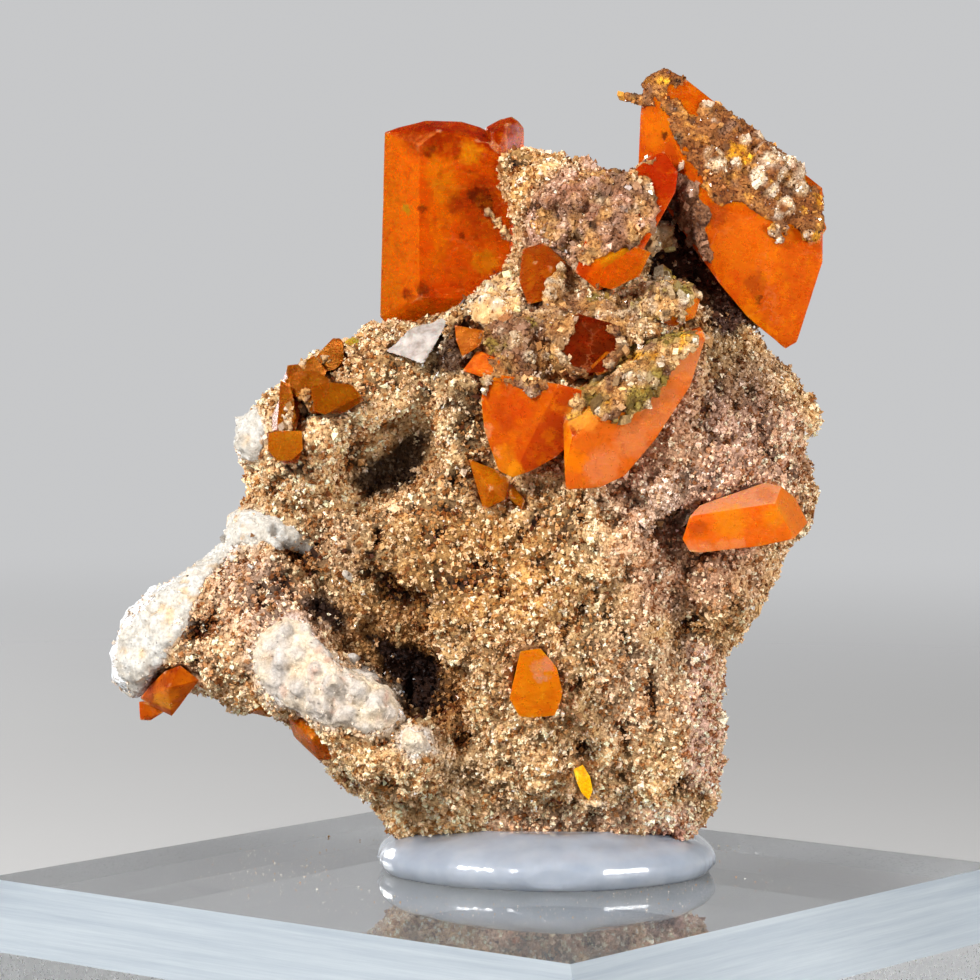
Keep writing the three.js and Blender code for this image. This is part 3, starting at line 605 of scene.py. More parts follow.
# Patches of tone: the tone, how soft the edge is in pixels, the strength, and the outline in pixels.
ZONES = [
    (BEIGE, 34, 0.8, [(236, 470), (268, 400), (340, 345), (430, 325), (452, 400), (436, 480), (380, 530),
                      (300, 545), (244, 525)]),
    (UMBER, 30, 0.5, [(440, 745), (560, 745), (565, 800), (450, 805)]),
    (OCHRE, 20, 0.5, [(340, 350), (400, 345), (410, 380), (350, 390)]),
    (BEIGE, 40, 0.6, [(380, 740), (640, 740), (705, 830), (560, 838), (440, 834), (390, 800)]),
    # partly painted light: the rock's rose tone, laid strongly where the ledge above shades the rock
    (ROSE, 26, 0.6, [(262, 528), (345, 528), (352, 566), (268, 570)]),
    (ROSE, 30, 0.55, [(600, 640), (700, 640), (712, 740), (610, 740)]),
    (OCHRE, 14, 0.6, [(498, 145), (545, 150), (538, 210), (505, 215)]),
    (PEACH, 22, 0.85, [(165, 640), (200, 600), (262, 628), (266, 680), (200, 684)]),
    (ROSE, 20, 0.75, [(190, 600), (222, 560), (262, 548), (330, 590), (350, 640), (300, 620), (240, 640)]),
    (DUSK, 12, 0.75, [(490, 330), (520, 300), (640, 290), (645, 325), (560, 345), (540, 390), (490, 380)]),
    (OCHRE, 34, 0.65, [(400, 510), (560, 510), (570, 620), (430, 630), (380, 580)]),
    (PINK, 40, 0.7, [(600, 400), (760, 360), (810, 470), (740, 600), (640, 620), (600, 500)]),
    (UMBER, 30, 0.45, [(700, 330), (770, 350), (780, 420), (720, 470), (680, 420)]),
    (GREY, 30, 0.5, [(640, 480), (700, 470), (700, 520), (640, 540)]),
    (UMBER, 16, 0.3, [(340, 518), (396, 520), (452, 580), (462, 626), (414, 622), (376, 590), (336, 556)]),
    (BLUSH, 30, 0.45, [(700, 400), (790, 400), (812, 470), (760, 540), (700, 500)]),
    (BLUSH, 14, 0.9, [(684, 640), (720, 650), (730, 700), (722, 800), (686, 790)]),
    (BLUSH, 12, 0.8, [(640, 808), (700, 800), (704, 840), (646, 842)]),
    (BLUSH, 16, 0.5, [(490, 814), (640, 808), (640, 842), (490, 842)]),
    (HEMATITE, 8, 0.7, [(652, 832), (676, 826), (690, 832), (680, 842)]),
    (CREAM, 14, 0.8, [(472, 280), (500, 270), (525, 290), (500, 325), (468, 320)]),
    (LILAC, 14, 0.85, [(530, 195), (560, 165), (640, 165), (645, 250), (560, 270), (525, 250)]),
    # Painted shade: the crevice and wine patches from here to the white ones darken the fissure, the hollow,
    # grooves, nooks under ledges and between parts, and the gap beside the right slab.
    (CREVICE_SHADE, 10, 1.0, [(300, 596), (328, 598), (346, 612), (338, 630), (318, 624), (304, 612)]),
    (CREVICE_SHADE, 12, 1.0, [(360, 628), (400, 642), (438, 652), (444, 690), (424, 722), (400, 706), (380, 668)]),
    (CREVICE_SHADE, 10, 0.93, [(346, 478), (372, 462), (396, 444), (418, 424), (432, 434), (426, 462), (412, 486),
                         (390, 494), (360, 492)]),
    (CREVICE_SHADE, 16, 0.3, [(252, 492), (300, 498), (335, 512), (325, 524), (280, 515)]),
    (WINE, 10, 0.9, [(436, 350), (456, 320), (468, 322), (468, 345), (480, 366), (452, 376), (430, 370)]),
    (CREVICE_SHADE, 12, 0.45, [(672, 520), (686, 520), (688, 664), (672, 660)]),
    (CREVICE_SHADE, 16, 0.45, [(440, 755), (480, 752), (490, 785), (446, 790)]),
    (CREVICE_SHADE, 10, 0.6, [(445, 385), (480, 385), (480, 415), (450, 415)]),
    (WINE, 14, 0.95, [(652, 195), (700, 196), (716, 240), (750, 320), (720, 345), (705, 300), (640, 288),
                      (650, 240)]),
    (WHITE, 9, 1.0, [(98, 662), (106, 622), (138, 584), (168, 560), (216, 526), (238, 545), (205, 580),
                     (185, 625), (165, 660), (148, 684), (138, 708), (112, 696)]),
    (WHITE, 16, 1.0, WHITE_PATCH),
    (WHITE, 12, 0.9, [(405, 726), (430, 730), (434, 752), (410, 762), (396, 745)]),
    (PALE_ROSE, 16, 0.55, [(240, 610), (300, 606), (332, 640), (312, 668), (250, 668)]),
    (PALE_ROSE, 24, 0.5, [(224, 556), (270, 552), (300, 590), (296, 612), (240, 622), (214, 590)]),
    (WHITE, 8, 0.95, [(234, 420), (258, 404), (266, 440), (258, 462), (236, 460)]),
    (WHITE, 14, 0.75, [(208, 520), (222, 508), (262, 510), (285, 530), (262, 545), (225, 545)]),
]
WHITE_ZONES = [zone for zone in ZONES if zone[0] == WHITE]


def inside_outline(u, v, outline):
    """Distance in pixels inside an outline, negative outside."""
    nearest = np.full(len(u), 1e9)
    inside = np.zeros(len(u), dtype=bool)
    for (ax, ay), (bx, by) in zip(outline, outline[1:] + outline[:1]):
        length = (bx - ax) ** 2 + (by - ay) ** 2
        t = np.clip(((u - ax) * (bx - ax) + (v - ay) * (by - ay)) / length, 0, 1)
        nearest = np.minimum(nearest, np.hypot(u - ax - t * (bx - ax), v - ay - t * (by - ay)))
        crosses = (ay > v) != (by > v)
        with np.errstate(divide="ignore", invalid="ignore"):
            inside ^= crosses & (u < ax + (v - ay) / (by - ay) * (bx - ax))
    return np.where(inside, nearest, -nearest)


def zone_share(points, zone):
    """How much a patch covers each point, with a ragged edge."""
    _, soft, strength, outline = zone
    u, v = to_pixels(points)
    ragged = inside_outline(u, v, outline) + soft * 0.8 * fractal(points, 1.6, 40)
    return strength * np.clip(0.5 + ragged / soft, 0, 1)


def blended(colour, tone, share):
    """Colours turned towards a tone, by a share from 0 to 1 for each of them."""
    share = share[:, None]
    return colour * (1 - share) + np.array(tone) * share


def rock_tint(points, rng, spread):
    """Colour of the rock at points, with a random spread from grain to grain."""
    tone = 0.5 + 0.75 * fractal(points, 5.0, 11, 4) + spread * rng.normal(size=len(points))
    tone = np.clip(tone, 0, 1)
    colour = np.outer(1 - tone, TAN) + np.outer(tone, SAND)
    for zone in ZONES:
        colour = blended(colour, zone[0], zone_share(points, zone))
    return colour


def darkened(tint, shade):
    """Tones times a shade from 0 up, turning browner as they darken."""
    return tint * np.maximum(shade, 0.02)[:, None] ** np.array(BROWNING)


def white_share(points):
    """How much the white coating covers each point."""
    share = np.zeros(len(points))
    for zone in WHITE_ZONES:
        share = np.maximum(share, zone_share(points, zone))
    return share


# ---- rock ----------------------------------------------------------------------------------------

CRYSTALS = [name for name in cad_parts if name.startswith("crystal")]
crystal_tree = tree_of(*node_arrays(*CRYSTALS, "calcite_plate"))


def near_crystal(points, reach):
    """Share from 1 at a crystal to 0 at reach away from one."""
    found = [crystal_tree.find_nearest(p, reach)[3] for p in points.tolist()]
    return np.array([0.0 if d is None else 1 - d / reach for d in found])


SMALL_PITS = dict(size=0.95, seed=33, start=0.38, slope=0.22, depth=0.55)
LARGE_PITS = dict(size=2.4, seed=44, start=0.50, slope=0.20, depth=0.80)


def pits(points, size, seed, start, slope, depth):
    """Depth of scattered pits, which lie where noise is over start and deepen along the slope."""
    return depth * np.clip((smooth_noise(points, size, seed) - start) / slope, 0, 1)


def crumbly(points, white):
    """Height of the rock's relief: crumbs of two sizes and scattered pits, smoother where white."""
    bent = points + 0.35 * np.stack([smooth_noise(points, 0.7, k) for k in (2, 3, 4)], axis=1)
    crumbs = pebbles(bent, 1.15, 9)
    grit = pebbles(bent, 0.55, 12)
    relief = 0.62 * fractal(points, 3.2, 21, 2) + 0.55 * fractal(bent, 1.1, 25)
    relief += 0.38 * (0.5 - crumbs) + 0.26 * (0.5 - grit)
    relief -= pits(points, **SMALL_PITS)
    relief -= pits(points, **LARGE_PITS)
    fluffy = pebbles(points, 1.05, 15)
    return relief * (1 - 0.75 * white) + white * (0.25 + 0.5 * (0.6 - fluffy))


ROCK_VOXEL, ROCK_SOFTENING = 0.345, 5
SKIN = 0.05                         # how far the rock's skin is raised
CONTACT_REACH = 1.0                 # how near a crystal the rock changes,
CONTACT_SKIN = 0.12                 # how much more it is raised there,
CONTACT_CALM = 0.75                 # and how much of its relief it loses
SKY_REACH = 9.0                     # how far a hollow is looked across
SKY_WAYS = 12                       # in how many directions
SKY_LIFT = 0.15                     # how far above the surface the look starts
DEEPEST_SHADE, SHADE_GAIN, SHADE_POWER = 0.21, 0.95, 1.45          # from openness to a painted shade of the rock's colour
GROUND_SHADE = 0.85                 # painted shade of the rock between its grains
MIDDLE_HEIGHT = 0.62                # share of its tone that rock of middling height shows; lower rock turns to painted shade


def openness(points, triangles, normals):
    """Share of directions towards the front in which each point sees past the rock around it, for the painted
    shade.
    """
    tree = tree_of(points, triangles)
    rng = np.random.default_rng(12)
    ways = rng.normal(size=(SKY_WAYS, 3))
    ways /= np.linalg.norm(ways, axis=1)[:, None]
    ways[:, 1] = -np.abs(ways[:, 1])
    opened = np.zeros(len(points))
    for way in ways:
        leaning = normals + way
        leaning /= np.maximum(np.linalg.norm(leaning, axis=1), 1e-6)[:, None]
        starts = points + normals * SKY_LIFT
        for k, (start, lean) in enumerate(zip(starts.tolist(), leaning.tolist())):
            opened[k] += tree.ray_cast(start, lean, SKY_REACH)[0] is None
    return opened / SKY_WAYS


BEHIND_SLAB = ((10.6, 4.6, 56.2), (15.2, 4.4, 48.4))       # a row of balls that fills the gap there
FILLER_BALLS, FILLER_RADIUS = 7, 1.7


def build_rock():
    """The rock with its fine relief and painted shade in its hollows and low places. Returns what the druse
    grows on.
    """
    filler = Grains(np.random.default_rng(1))
    centres = np.linspace(*BEHIND_SLAB, FILLER_BALLS)
    radii = np.full(FILLER_BALLS, FILLER_RADIUS)
    filler.add(LUMP, centres, radii, np.ones((FILLER_BALLS, 3)), stretch=0.1)
    body = joined([node_arrays("matrix"), filler.arrays()])
    points, triangles = remeshed(bare_mesh(*body), ROCK_VOXEL, ROCK_SOFTENING)
    normals = vertex_normals(points, triangles)
    white = white_share(points)
    lumps = crumbly(points, white)
    held = near_crystal(points, CONTACT_REACH)
    lift = SKIN + lumps * (1 - CONTACT_CALM * held) + CONTACT_SKIN * held
    moved = points + normals * lift[:, None]
    # painted shade: the rock's colour darkens where the rock around it hides the room, as in the fissure,
    # hollows and pits
    open_sky = openness(moved, triangles, normals)
    depth_shade = DEEPEST_SHADE + SHADE_GAIN * open_sky ** SHADE_POWER
    colour = darkened(rock_tint(points, np.random.default_rng(7), 0.05), depth_shade)
    # painted shade: the lower the relief, the nearer the colour goes to the near-black crevice tone; low
    # white coating darkens a little too
    height = np.clip(MIDDLE_HEIGHT + lumps, 0, 1)[:, None]
    ground = darkened(colour, np.full(len(colour), GROUND_SHADE))
    base = np.array(CREVICE_SHADE) * (1 - height) + ground * height
    base = base * (1 - white[:, None]) + colour * white[:, None] * (0.85 + 0.15 * height)
    rock = new_piece("rock", moved, triangles, rock_surface("rock_base", 0.22, PITTED), "rock", base,
                     smooth=True)
    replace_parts(rock, "matrix")
    return moved, triangles, lumps, depth_shade


rock_points, rock_triangles, rock_lumps, rock_shade = build_rock()
# The rock and the CAD crystals, for what the picture shows at a pixel.
front_tree = tree_of(*joined([(rock_points, rock_triangles), node_arrays(*CRYSTALS)]))


def outside_crystals(spots, normals, clearance):
    """Spots that no crystal covers closely."""
    keep = np.ones(len(spots), dtype=bool)
    for k, (spot, normal) in enumerate(zip(spots, normals)):
        hit = crystal_tree.ray_cast(Vector(spot + normal * 0.01), Vector(normal), clearance)
        keep[k] = hit[0] is None
    return keep


LOWEST_GRAIN = 15.0                 # height over the block's foot
CRYSTAL_CLEARANCE = 0.5             # how far grains stay from a crystal in front of them
JUST_BEHIND = 1.0                   # depth behind what shows that is still covered finely
TIP_TONE = (1.0, 0.68, 0.43)        # painted highlight: what bright grains lean to, for the red in them
BRIGHTEST_GRAIN = 0.80
# painted highlight: from which brightness tones are paled, how fast, and how far
PALE_HIGHLIGHT_FROM, PALE_HIGHLIGHT_RATE, PALE_HIGHLIGHT_MOST = 0.45, 1.6, 0.7
DARK_SHARE, DARK_SHADE = 0.19, 0.35 # of the crumbs that are dark, and how dark they are
PALE_SHARE = 0.09                   # of the crumbs that are pale
BRICK_SHARE = 0.12                  # of the crumbs that are bricks
BARE_WHITE = 0.85                   # share of the crumbs that the white coating leaves out
DRUSE_TRIES = 200000
FINEST = 0.118                      # usual size of the finer grains
# For each side: crumb size, spacing, and how many finer grains there are for each crumb.
DRUSE_LAYERS = {"front": (0.20, 0.35, 4.4), "rest": (0.34, 0.66, 1.0)}


def thinned(spots, spacing):
    """Indices of spots with about one left in each cube of the spacing."""
    cells = np.floor(spots / spacing).astype(np.int64)
    _, chosen = np.unique(cells, axis=0, return_index=True)
    return chosen


def paled_highlights(tint):
    """Brighter tones turn towards a pale beige, as painted highlight on the lit tips of the grains."""
    bright = np.clip(PALE_HIGHLIGHT_RATE * (tint[:, :1] - PALE_HIGHLIGHT_FROM), 0, PALE_HIGHLIGHT_MOST)
    return np.clip(tint * (1 - bright) + tint[:, :1] * np.array(TIP_TONE) * bright, 0, BRIGHTEST_GRAIN)


def grain_tones(spots, lumps, white, rng):
    """A colour for each crumb: its zone's tone, lighter on the lumps and darker in the dips as painted light
    and shade, with some dark and pale ones.
    """
    # painted light and shade: crumbs on lumps are lighter, in dips darker, with a random spread
    uneven = (1 - 0.8 * white) * (0.55 * lumps + 0.30 * rng.normal(size=len(spots)))
    shade = np.clip(1.05 + uneven, 0.3, 1.6)
    shade = np.where(rng.random(len(spots)) < DARK_SHARE * (1 - white), shade * DARK_SHADE, shade)
    pale = rng.random(len(spots)) < PALE_SHARE * (1 - white)
    tint = np.where(pale[:, None], np.array(CREAM), rock_tint(spots, rng, 0.3))
    return paled_highlights(darkened(tint, shade))


def seen_from_front(spots, depth):
    """Whether each spot shows in the picture, or lies no deeper than depth behind what shows."""
    eye = Vector(CAMERA_AT)
    seen = np.zeros(len(spots), dtype=bool)
    for k, spot in enumerate(spots):
        way = Vector(spot) - eye
        reached = front_tree.ray_cast(eye, way.normalized())[3]
        seen[k] = reached is None or reached > way.length - depth
    return seen


def build_druse():
    """Crumbs all over the rock, each with finer grains on it; finest where the picture shows them."""
    rng = np.random.default_rng(2024)
    spots, normals, chosen = scatter(rock_points, rock_triangles, DRUSE_TRIES, rng)
    keep = (spots[:, 2] > LOWEST_GRAIN) & outside_crystals(spots, normals, CRYSTAL_CLEARANCE)
    spots, normals, chosen = spots[keep], normals[keep], chosen[keep]
    front = seen_from_front(spots, JUST_BEHIND)
    lumps = rock_lumps[rock_triangles[chosen, 0]]
    depth_shade = rock_shade[rock_triangles[chosen, 0]]
    material = grain_surface("druse_grains", 0.55, 0.10)
    for side, part in (("front", front), ("rest", ~front)):
        crumb, spacing, finer = DRUSE_LAYERS[side]
        kept = np.flatnonzero(part)
        kept = kept[thinned(spots[kept], spacing)]
        grounds = (spots[kept], normals[kept], lumps[kept], depth_shade[kept])
        druse_layer(side, *grounds, crumb, finer, material, rng)


def druse_layer(side, spots, normals, lumps, depth_shade, crumb, finer, material, rng):
    """Grains of about the crumb size on the spots, in bands of height, with finer ones on them."""
    white = white_share(spots)
    keep = rng.random(len(spots)) > BARE_WHITE * white
    spots, normals, lumps, white = spots[keep], normals[keep], lumps[keep], white[keep]
    depth_shade = depth_shade[keep]
    size = crumb * rng.lognormal(0, 0.28, len(spots)) * (1 - 0.4 * white)
    spots = spots + normals * (size * rng.uniform(-0.5, 0.4, len(spots)))[:, None]
    # painted shade: crumbs take the rock's shade where it is hidden
    tint = darkened(grain_tones(spots, lumps, white, rng), depth_shade)
    count = int(finer * len(spots))
    host = rng.integers(0, len(spots), count)
    way = rng.normal(size=(count, 3)) + 0.9 * normals[host]
    way /= np.linalg.norm(way, axis=1)[:, None]
    outward = np.sum(way * normals[host], axis=1)
    tips = spots[host] + way * (size[host] * rng.uniform(0.5, 0.95, count))[:, None]
    tip_size = FINEST * rng.lognormal(0, 0.3, count)
    # painted light and shade: finer grains pointing outwards are lighter, those pointing back darker
    tip_shade = (0.72 + 0.42 * outward) * rng.lognormal(0, 0.20, count)
    tip_tint = paled_highlights(darkened(tint[host], tip_shade))
    brick = rng.random(len(spots)) < BRICK_SHARE
    bands = np.quantile(spots[:, 2], [0, 1 / 3, 2 / 3, 1])
    for band, (low, high) in enumerate(zip(bands, bands[1:] + 0.001)):
        grains = Grains(rng)
        part = (spots[:, 2] >= low) & (spots[:, 2] < high)
        grains.add_some(OCTAHEDRON, part & ~brick, spots, size, tint)
        grains.add_some(BRICK, part & brick, spots, size, tint)
        part = (tips[:, 2] >= low) & (tips[:, 2] < high)
        grains.add_some(SPIKE, part, tips, tip_size, tip_tint)
        grains.piece(f"druse_{side}_{band + 1}", material, "rock")


build_druse()


# ---- crystals ------------------------------------------------------------------------------------

FLAT_WITHIN = math.radians(4)       # faces that differ by less become one
SHARP_OVER = math.radians(12)       # edges that bend by more are worn
CRISP_OVER = math.radians(24)       # edges that bend by more are shaded as edges


def crystal_look(name, made, material, slot, edge=0.07, wobble=0.035, longest=0.7):
    """A crystal from a bmesh: crisp faces with worn edges, and slightly uneven faces."""
    bmesh.ops.remove_doubles(made, verts=made.verts, dist=1e-3 * MM)
    bmesh.ops.dissolve_limit(made, angle_limit=FLAT_WITHIN, verts=made.verts, edges=made.edges)
    sharp = [e for e in made.edges if len(e.link_faces) == 2 and e.calc_face_angle() > SHARP_OVER]
    worn = bmesh.ops.bevel(made, geom=sharp, offset=edge * MM, segments=2, profile=0.6, affect="EDGES")
    at_edge = {tuple(round(c / MM, 3) for c in v.co) for v in worn["verts"]}
    bmesh.ops.triangulate(made, faces=made.faces)
    for _ in range(3):
        long_edges = [e for e in made.edges if e.calc_length() > longest * MM]
        if not long_edges:
            break
        bmesh.ops.subdivide_edges(made, edges=long_edges, cuts=1, use_grid_fill=False)
        bmesh.ops.triangulate(made, faces=made.faces)
    mesh = work_mesh(made)
    points, triangles = mesh_arrays(mesh)
    bpy.data.meshes.remove(mesh)
    on_edge = np.array([tuple(round(c, 3) for c in p) in at_edge for p in points.tolist()], dtype=float)
    normals = vertex_normals(points, triangles)
    inward = -np.abs(fractal(points, 1.3, 3)) - 0.4 * np.maximum(0, smooth_noise(points, 0.5, 8))
    points = points + normals * (wobble * inward)[:, None]
    piece = new_piece(name, points, triangles, material, slot, smooth=True)
    layer = piece.data.color_attributes.new("edge", "FLOAT_COLOR", "POINT")
    layer.data.foreach_set("color", np.repeat(on_edge, 4).astype(np.float32))
    crisp = piece.modifiers.new("crisp", "EDGE_SPLIT")
    crisp.split_angle = CRISP_OVER
    crisp.use_edge_sharp = False
    return piece


def bmesh_of(node):
    """A copy of a CAD node's mesh to work on."""
    made = bmesh.new()
    made.from_mesh(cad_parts[node].data)
    return made


def work_mesh(made):
    """A plain mesh out of a bmesh, which it frees."""
    mesh = bpy.data.meshes.new("work")
    made.to_mesh(mesh)
    made.free()
    return mesh


def wrap(made):
    """Turns a bmesh into the convex hull of its points."""
    hull = bmesh.ops.convex_hull(made, input=made.verts)
    left_over = set(hull["geom_interior"] + hull["geom_unused"])
    bmesh.ops.delete(made, geom=list(left_over), context="VERTS")


def crystal_piece(node, material, slot):
    """A replacement for a crystal's node."""
    made = bmesh_of(node)
    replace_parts(crystal_look(node + "_look", made, material, slot), node)


def spots_on(tree, marks):
    """Coloured spots on a surface from their pixels: u, v, radius in millimetres, tone, strength."""
    spots = []
    for u, v, radius, tone, strength in marks:
        hit, _ = shown_at(tree, u, v)
        if hit is not None:
            spots.append((tuple(hit), radius, tone, strength))
    return spots


AMBER = (0.80, 0.30, 0.004)
MAUVE = (0.55, 0.32, 0.32)
RUBY = (0.62, 0.05, 0.001)
COPPER = (0.55, 0.11, 0.001)
# painted glint: pale rose for spots on the golden plate's upper face
ROSE_GLINT = (0.70, 0.26, 0.12)

# Spots on each crystal: pixel, radius in millimetres, tone and strength.
MARKS = {
    "crystal_left_plate": [
        (425, 135, 1.5, BLOOD, 0.75), (455, 140, 1.2, BLOOD, 0.65), (490, 137, 1.0, BLOOD, 0.8),
        (471, 152, 0.7, AMBER, 0.85), (440, 172, 1.0, AMBER, 0.45), (446, 190, 0.9, AMBER, 0.5),
        (482, 203, 1.5, BLOOD, 0.6), (483, 198, 0.60, BLACK_RED, 0.95), (472, 194, 0.42, BLACK_RED, 0.9),
        (487, 207, 0.40, BLACK_RED, 0.9), (455, 203, 0.6, BLOOD, 0.7), (422, 208, 0.28, BLACK_RED, 0.8),
        (407, 207, 0.35, (0.40, 0.33, 0.01), 0.8),
        (424, 291, 0.40, BLACK_RED, 0.7), (407, 295, 0.35, BLOOD, 0.9), (461, 236, 0.25, BLACK_RED, 0.8),
        (485, 262, 0.8, AMBER, 0.8), (488, 230, 0.9, BLOOD, 0.35), (430, 150, 0.4, BLACK_RED, 0.6),
        (508, 165, 0.9, BLOOD, 0.5), (515, 138, 0.75, MAUVE, 0.9), (505, 125, 0.8, BLOOD, 0.7),
        (445, 293, 1.0, (0.80, 0.07, 0.0), 0.6), (400, 315, 0.8, (0.9, 0.16, 0.0), 0.6)],
    "crystal_right_slab": [
        (750, 250, 2.0, (0.78, 0.15, 0.001), 0.5), (755, 283, 0.7, BLOOD, 0.5),
        (758, 299, 0.28, BLACK_RED, 0.8), (655, 130, 1.3, (0.92, 0.21, 0.001), 0.7),
        (730, 285, 0.9, RUBY, 0.6), (715, 215, 0.8, BLOOD, 0.5), (664, 136, 0.30, BLACK_RED, 0.9)],
    "crystal_centre_cluster": [
        (505, 460, 0.9, AMBER, 0.4), (515, 473, 0.6, (0.9, 0.32, 0.005), 0.6), (504, 418, 0.9, DEEP, 0.6),
        (520, 405, 1.0, RUBY, 0.5),
        (560, 430, 0.9, BLOOD, 0.35), (602, 466, 1.1, SALMON, 0.7), (632, 440, 1.1, SALMON, 0.7),
        (660, 408, 1.5, SALMON, 0.7), (690, 360, 1.5, SALMON, 0.95),
        (575, 460, 0.7, (0.92, 0.22, 0.001), 0.9), (486, 430, 0.45, SALMON, 0.7),
        # painted shadow: the dark spot at pixel (545, 470) is shade between the two lower blades
        (480, 405, 0.5, SALMON, 0.7), (496, 452, 0.3, SALMON, 0.6), (545, 470, 0.8, BLOOD, 0.8),
        (582, 418, 0.9, (0.86, 0.36, 0.04), 0.8), (590, 340, 1.8, BLOOD, 0.9),
        (600, 345, 0.9, BLACK_RED, 0.6), (610, 365, 0.5, (0.75, 0.09, 0.001), 0.7)],
    "crystal_right_prism": [
        (690, 551, 0.5, SALMON, 0.8), (706, 549, 0.45, SALMON, 0.8), (722, 547, 0.45, SALMON, 0.8),
        (738, 545, 0.45, SALMON, 0.8), (697, 530, 0.6, BLOOD, 0.45), (730, 520, 1.0, AMBER, 0.5),
        (775, 515, 0.8, AMBER, 0.5), (765, 495, 0.6, BLOOD, 0.3)],
    "crystal_left_tip": [
        (163, 702, 0.7, (0.95, 0.34, 0.003), 0.9), (170, 694, 0.6, (0.85, 0.24, 0.002), 0.8),
        (172, 676, 0.9, BLOOD, 0.7), (184, 676, 0.6, (0.55, 0.12, 0.001), 0.6), (152, 690, 0.5, BLOOD, 0.5)],
    "crystal_ridge_slab": [
        (665, 175, 1.4, (0.42, 0.018, 0.001), 0.9), (640, 190, 1.0, BLOOD, 0.7),
        (650, 230, 1.0, (0.5, 0.04, 0.001), 0.8),
        (620, 265, 1.4, AMBER, 0.7), (600, 275, 0.8, (0.85, 0.12, 0.001), 0.7)],
}

# How each crystal differs from the usual look. Faces are painted light and shade on facets: the way they
# look, their tone and its strength.
LOOKS = {
    "crystal_left_plate": dict(clear=0.65, rough=0.2, absorption=0.8, growth=(1.6, 1, 0.45), mottle=0.6,
                               faces=[
        ((-0.55, -0.84, 0.0), (0.94, 0.21, 0.001), 0.7), ((-0.01, -0.78, -0.63), (1.0, 0.21, 0.001), 0.9),
        ((0.22, -0.49, 0.84), (0.50, 0.03, 0.001), 0.8), ((-0.23, -0.48, 0.84), RUBY, 0.8),
        ((-0.37, -0.82, 0.44), (0.60, 0.06, 0.001), 0.6),
        ((0.66, -0.73, 0.15), MAUVE, 0.95), ((-0.42, -0.42, 0.80), RUBY, 0.7)]),
    "crystal_right_slab": dict(base=(0.60, 0.085, 0.0005), clear=0.45, rough=0.26, mottle=0.35, faces=[
        ((-0.67, -0.74, -0.04), (0.88, 0.20, 0.001), 0.7), ((-0.77, -0.55, -0.31), (0.45, 0.03, 0.001), 0.8),
        ((-0.70, -0.69, -0.15), (0.60, 0.05, 0.001), 0.5)]),
    "crystal_ridge_slab": dict(base=(0.45, 0.035, 0.001), light=(0.66, 0.13, 0.001), clear=0.45, rough=0.25),
    "crystal_amber_upper": dict(base=(0.38, 0.055, 0.001), light=(0.56, 0.14, 0.002), clear=0.55,
                                rough=0.25, mottle=0.6),
    "crystal_centre_cluster": dict(base=(0.62, 0.085, 0.0005), clear=0.4, rough=0.3, frost=0.04,
                                   mottle=0.4, faces=[
        ((0.30, -0.93, -0.21), (0.84, 0.17, 0.012), 0.6), ((-0.85, -0.52, 0.09), (0.95, 0.25, 0.001), 0.8),
        ((-0.13, -0.94, -0.31), (0.42, 0.025, 0.001), 0.75), ((0.05, -0.73, 0.68), BLOOD, 0.9),
        ((-0.04, -0.65, 0.76), BLOOD, 0.8), ((0.02, -0.83, 0.56), BLOOD, 0.8),
        ((0.30, -0.60, -0.74), DEEP, 0.7)]),
    "crystal_nodule": dict(base=(0.86, 0.2, 0.003), clear=0.45),
    "crystal_yellow_upper": dict(base=(0.24, 0.045, 0.001), light=(0.52, 0.15, 0.002), clear=0.35,
                                 absorption=2.5),
    "crystal_left_cluster": dict(base=(0.40, 0.075, 0.001), deep=(0.2, 0.03, 0.001),
                                 light=(0.62, 0.18, 0.003), clear=0.75, rough=0.16, absorption=0.9),
    "crystal_small_red": dict(base=(0.50, 0.12, 0.002), deep=(0.25, 0.03, 0.001), light=(0.70, 0.24, 0.003),
                              clear=0.5),
    "crystal_right_prism": dict(base=(0.76, 0.125, 0.001), clear=0.4, rough=0.3, frost=0.20, faces=[
        ((-0.09, -0.53, 0.84), (0.66, 0.27, 0.13), 0.9), ((0.79, -0.51, 0.32), (0.80, 0.20, 0.005), 0.8)]),
    "crystal_left_tip": dict(base=(0.48, 0.08, 0.001), deep=(0.20, 0.015, 0.001), light=(0.74, 0.20, 0.002),
                             clear=0.45, rough=0.3, absorption=0.9, mottle=0.5),
    "crystal_under_small": dict(base=(0.70, 0.18, 0.001), clear=0.7, absorption=0.9),
    "crystal_under_large": dict(base=(0.70, 0.19, 0.001), clear=0.7, absorption=0.9),
}

for crystal, look in LOOKS.items():
    marks = spots_on(tree_of(*node_arrays(crystal)), MARKS.get(crystal, ()))
    surface = wulfenite(crystal.replace("crystal", "wulfenite"), spots=marks, **look)
    crystal_piece(crystal, surface, "wulfenite")


def calcite_plate():
    """A granular plate with ragged edges in place of the calcite's node."""
    made = bmesh_of("calcite_plate")
    wrap(made)
    points, triangles = remeshed(work_mesh(made), 0.14, 2)
    rough = 0.16 * fractal(points, 0.9, 51) + 0.10 * fractal(points, 0.3, 52) - 0.10
    points = points + vertex_normals(points, triangles) * rough[:, None]
    plate = new_piece("calcite_plate_look", points, triangles, calcite_surface(), "calcite", smooth=True)
    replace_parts(plate, "calcite_plate")


calcite_plate()

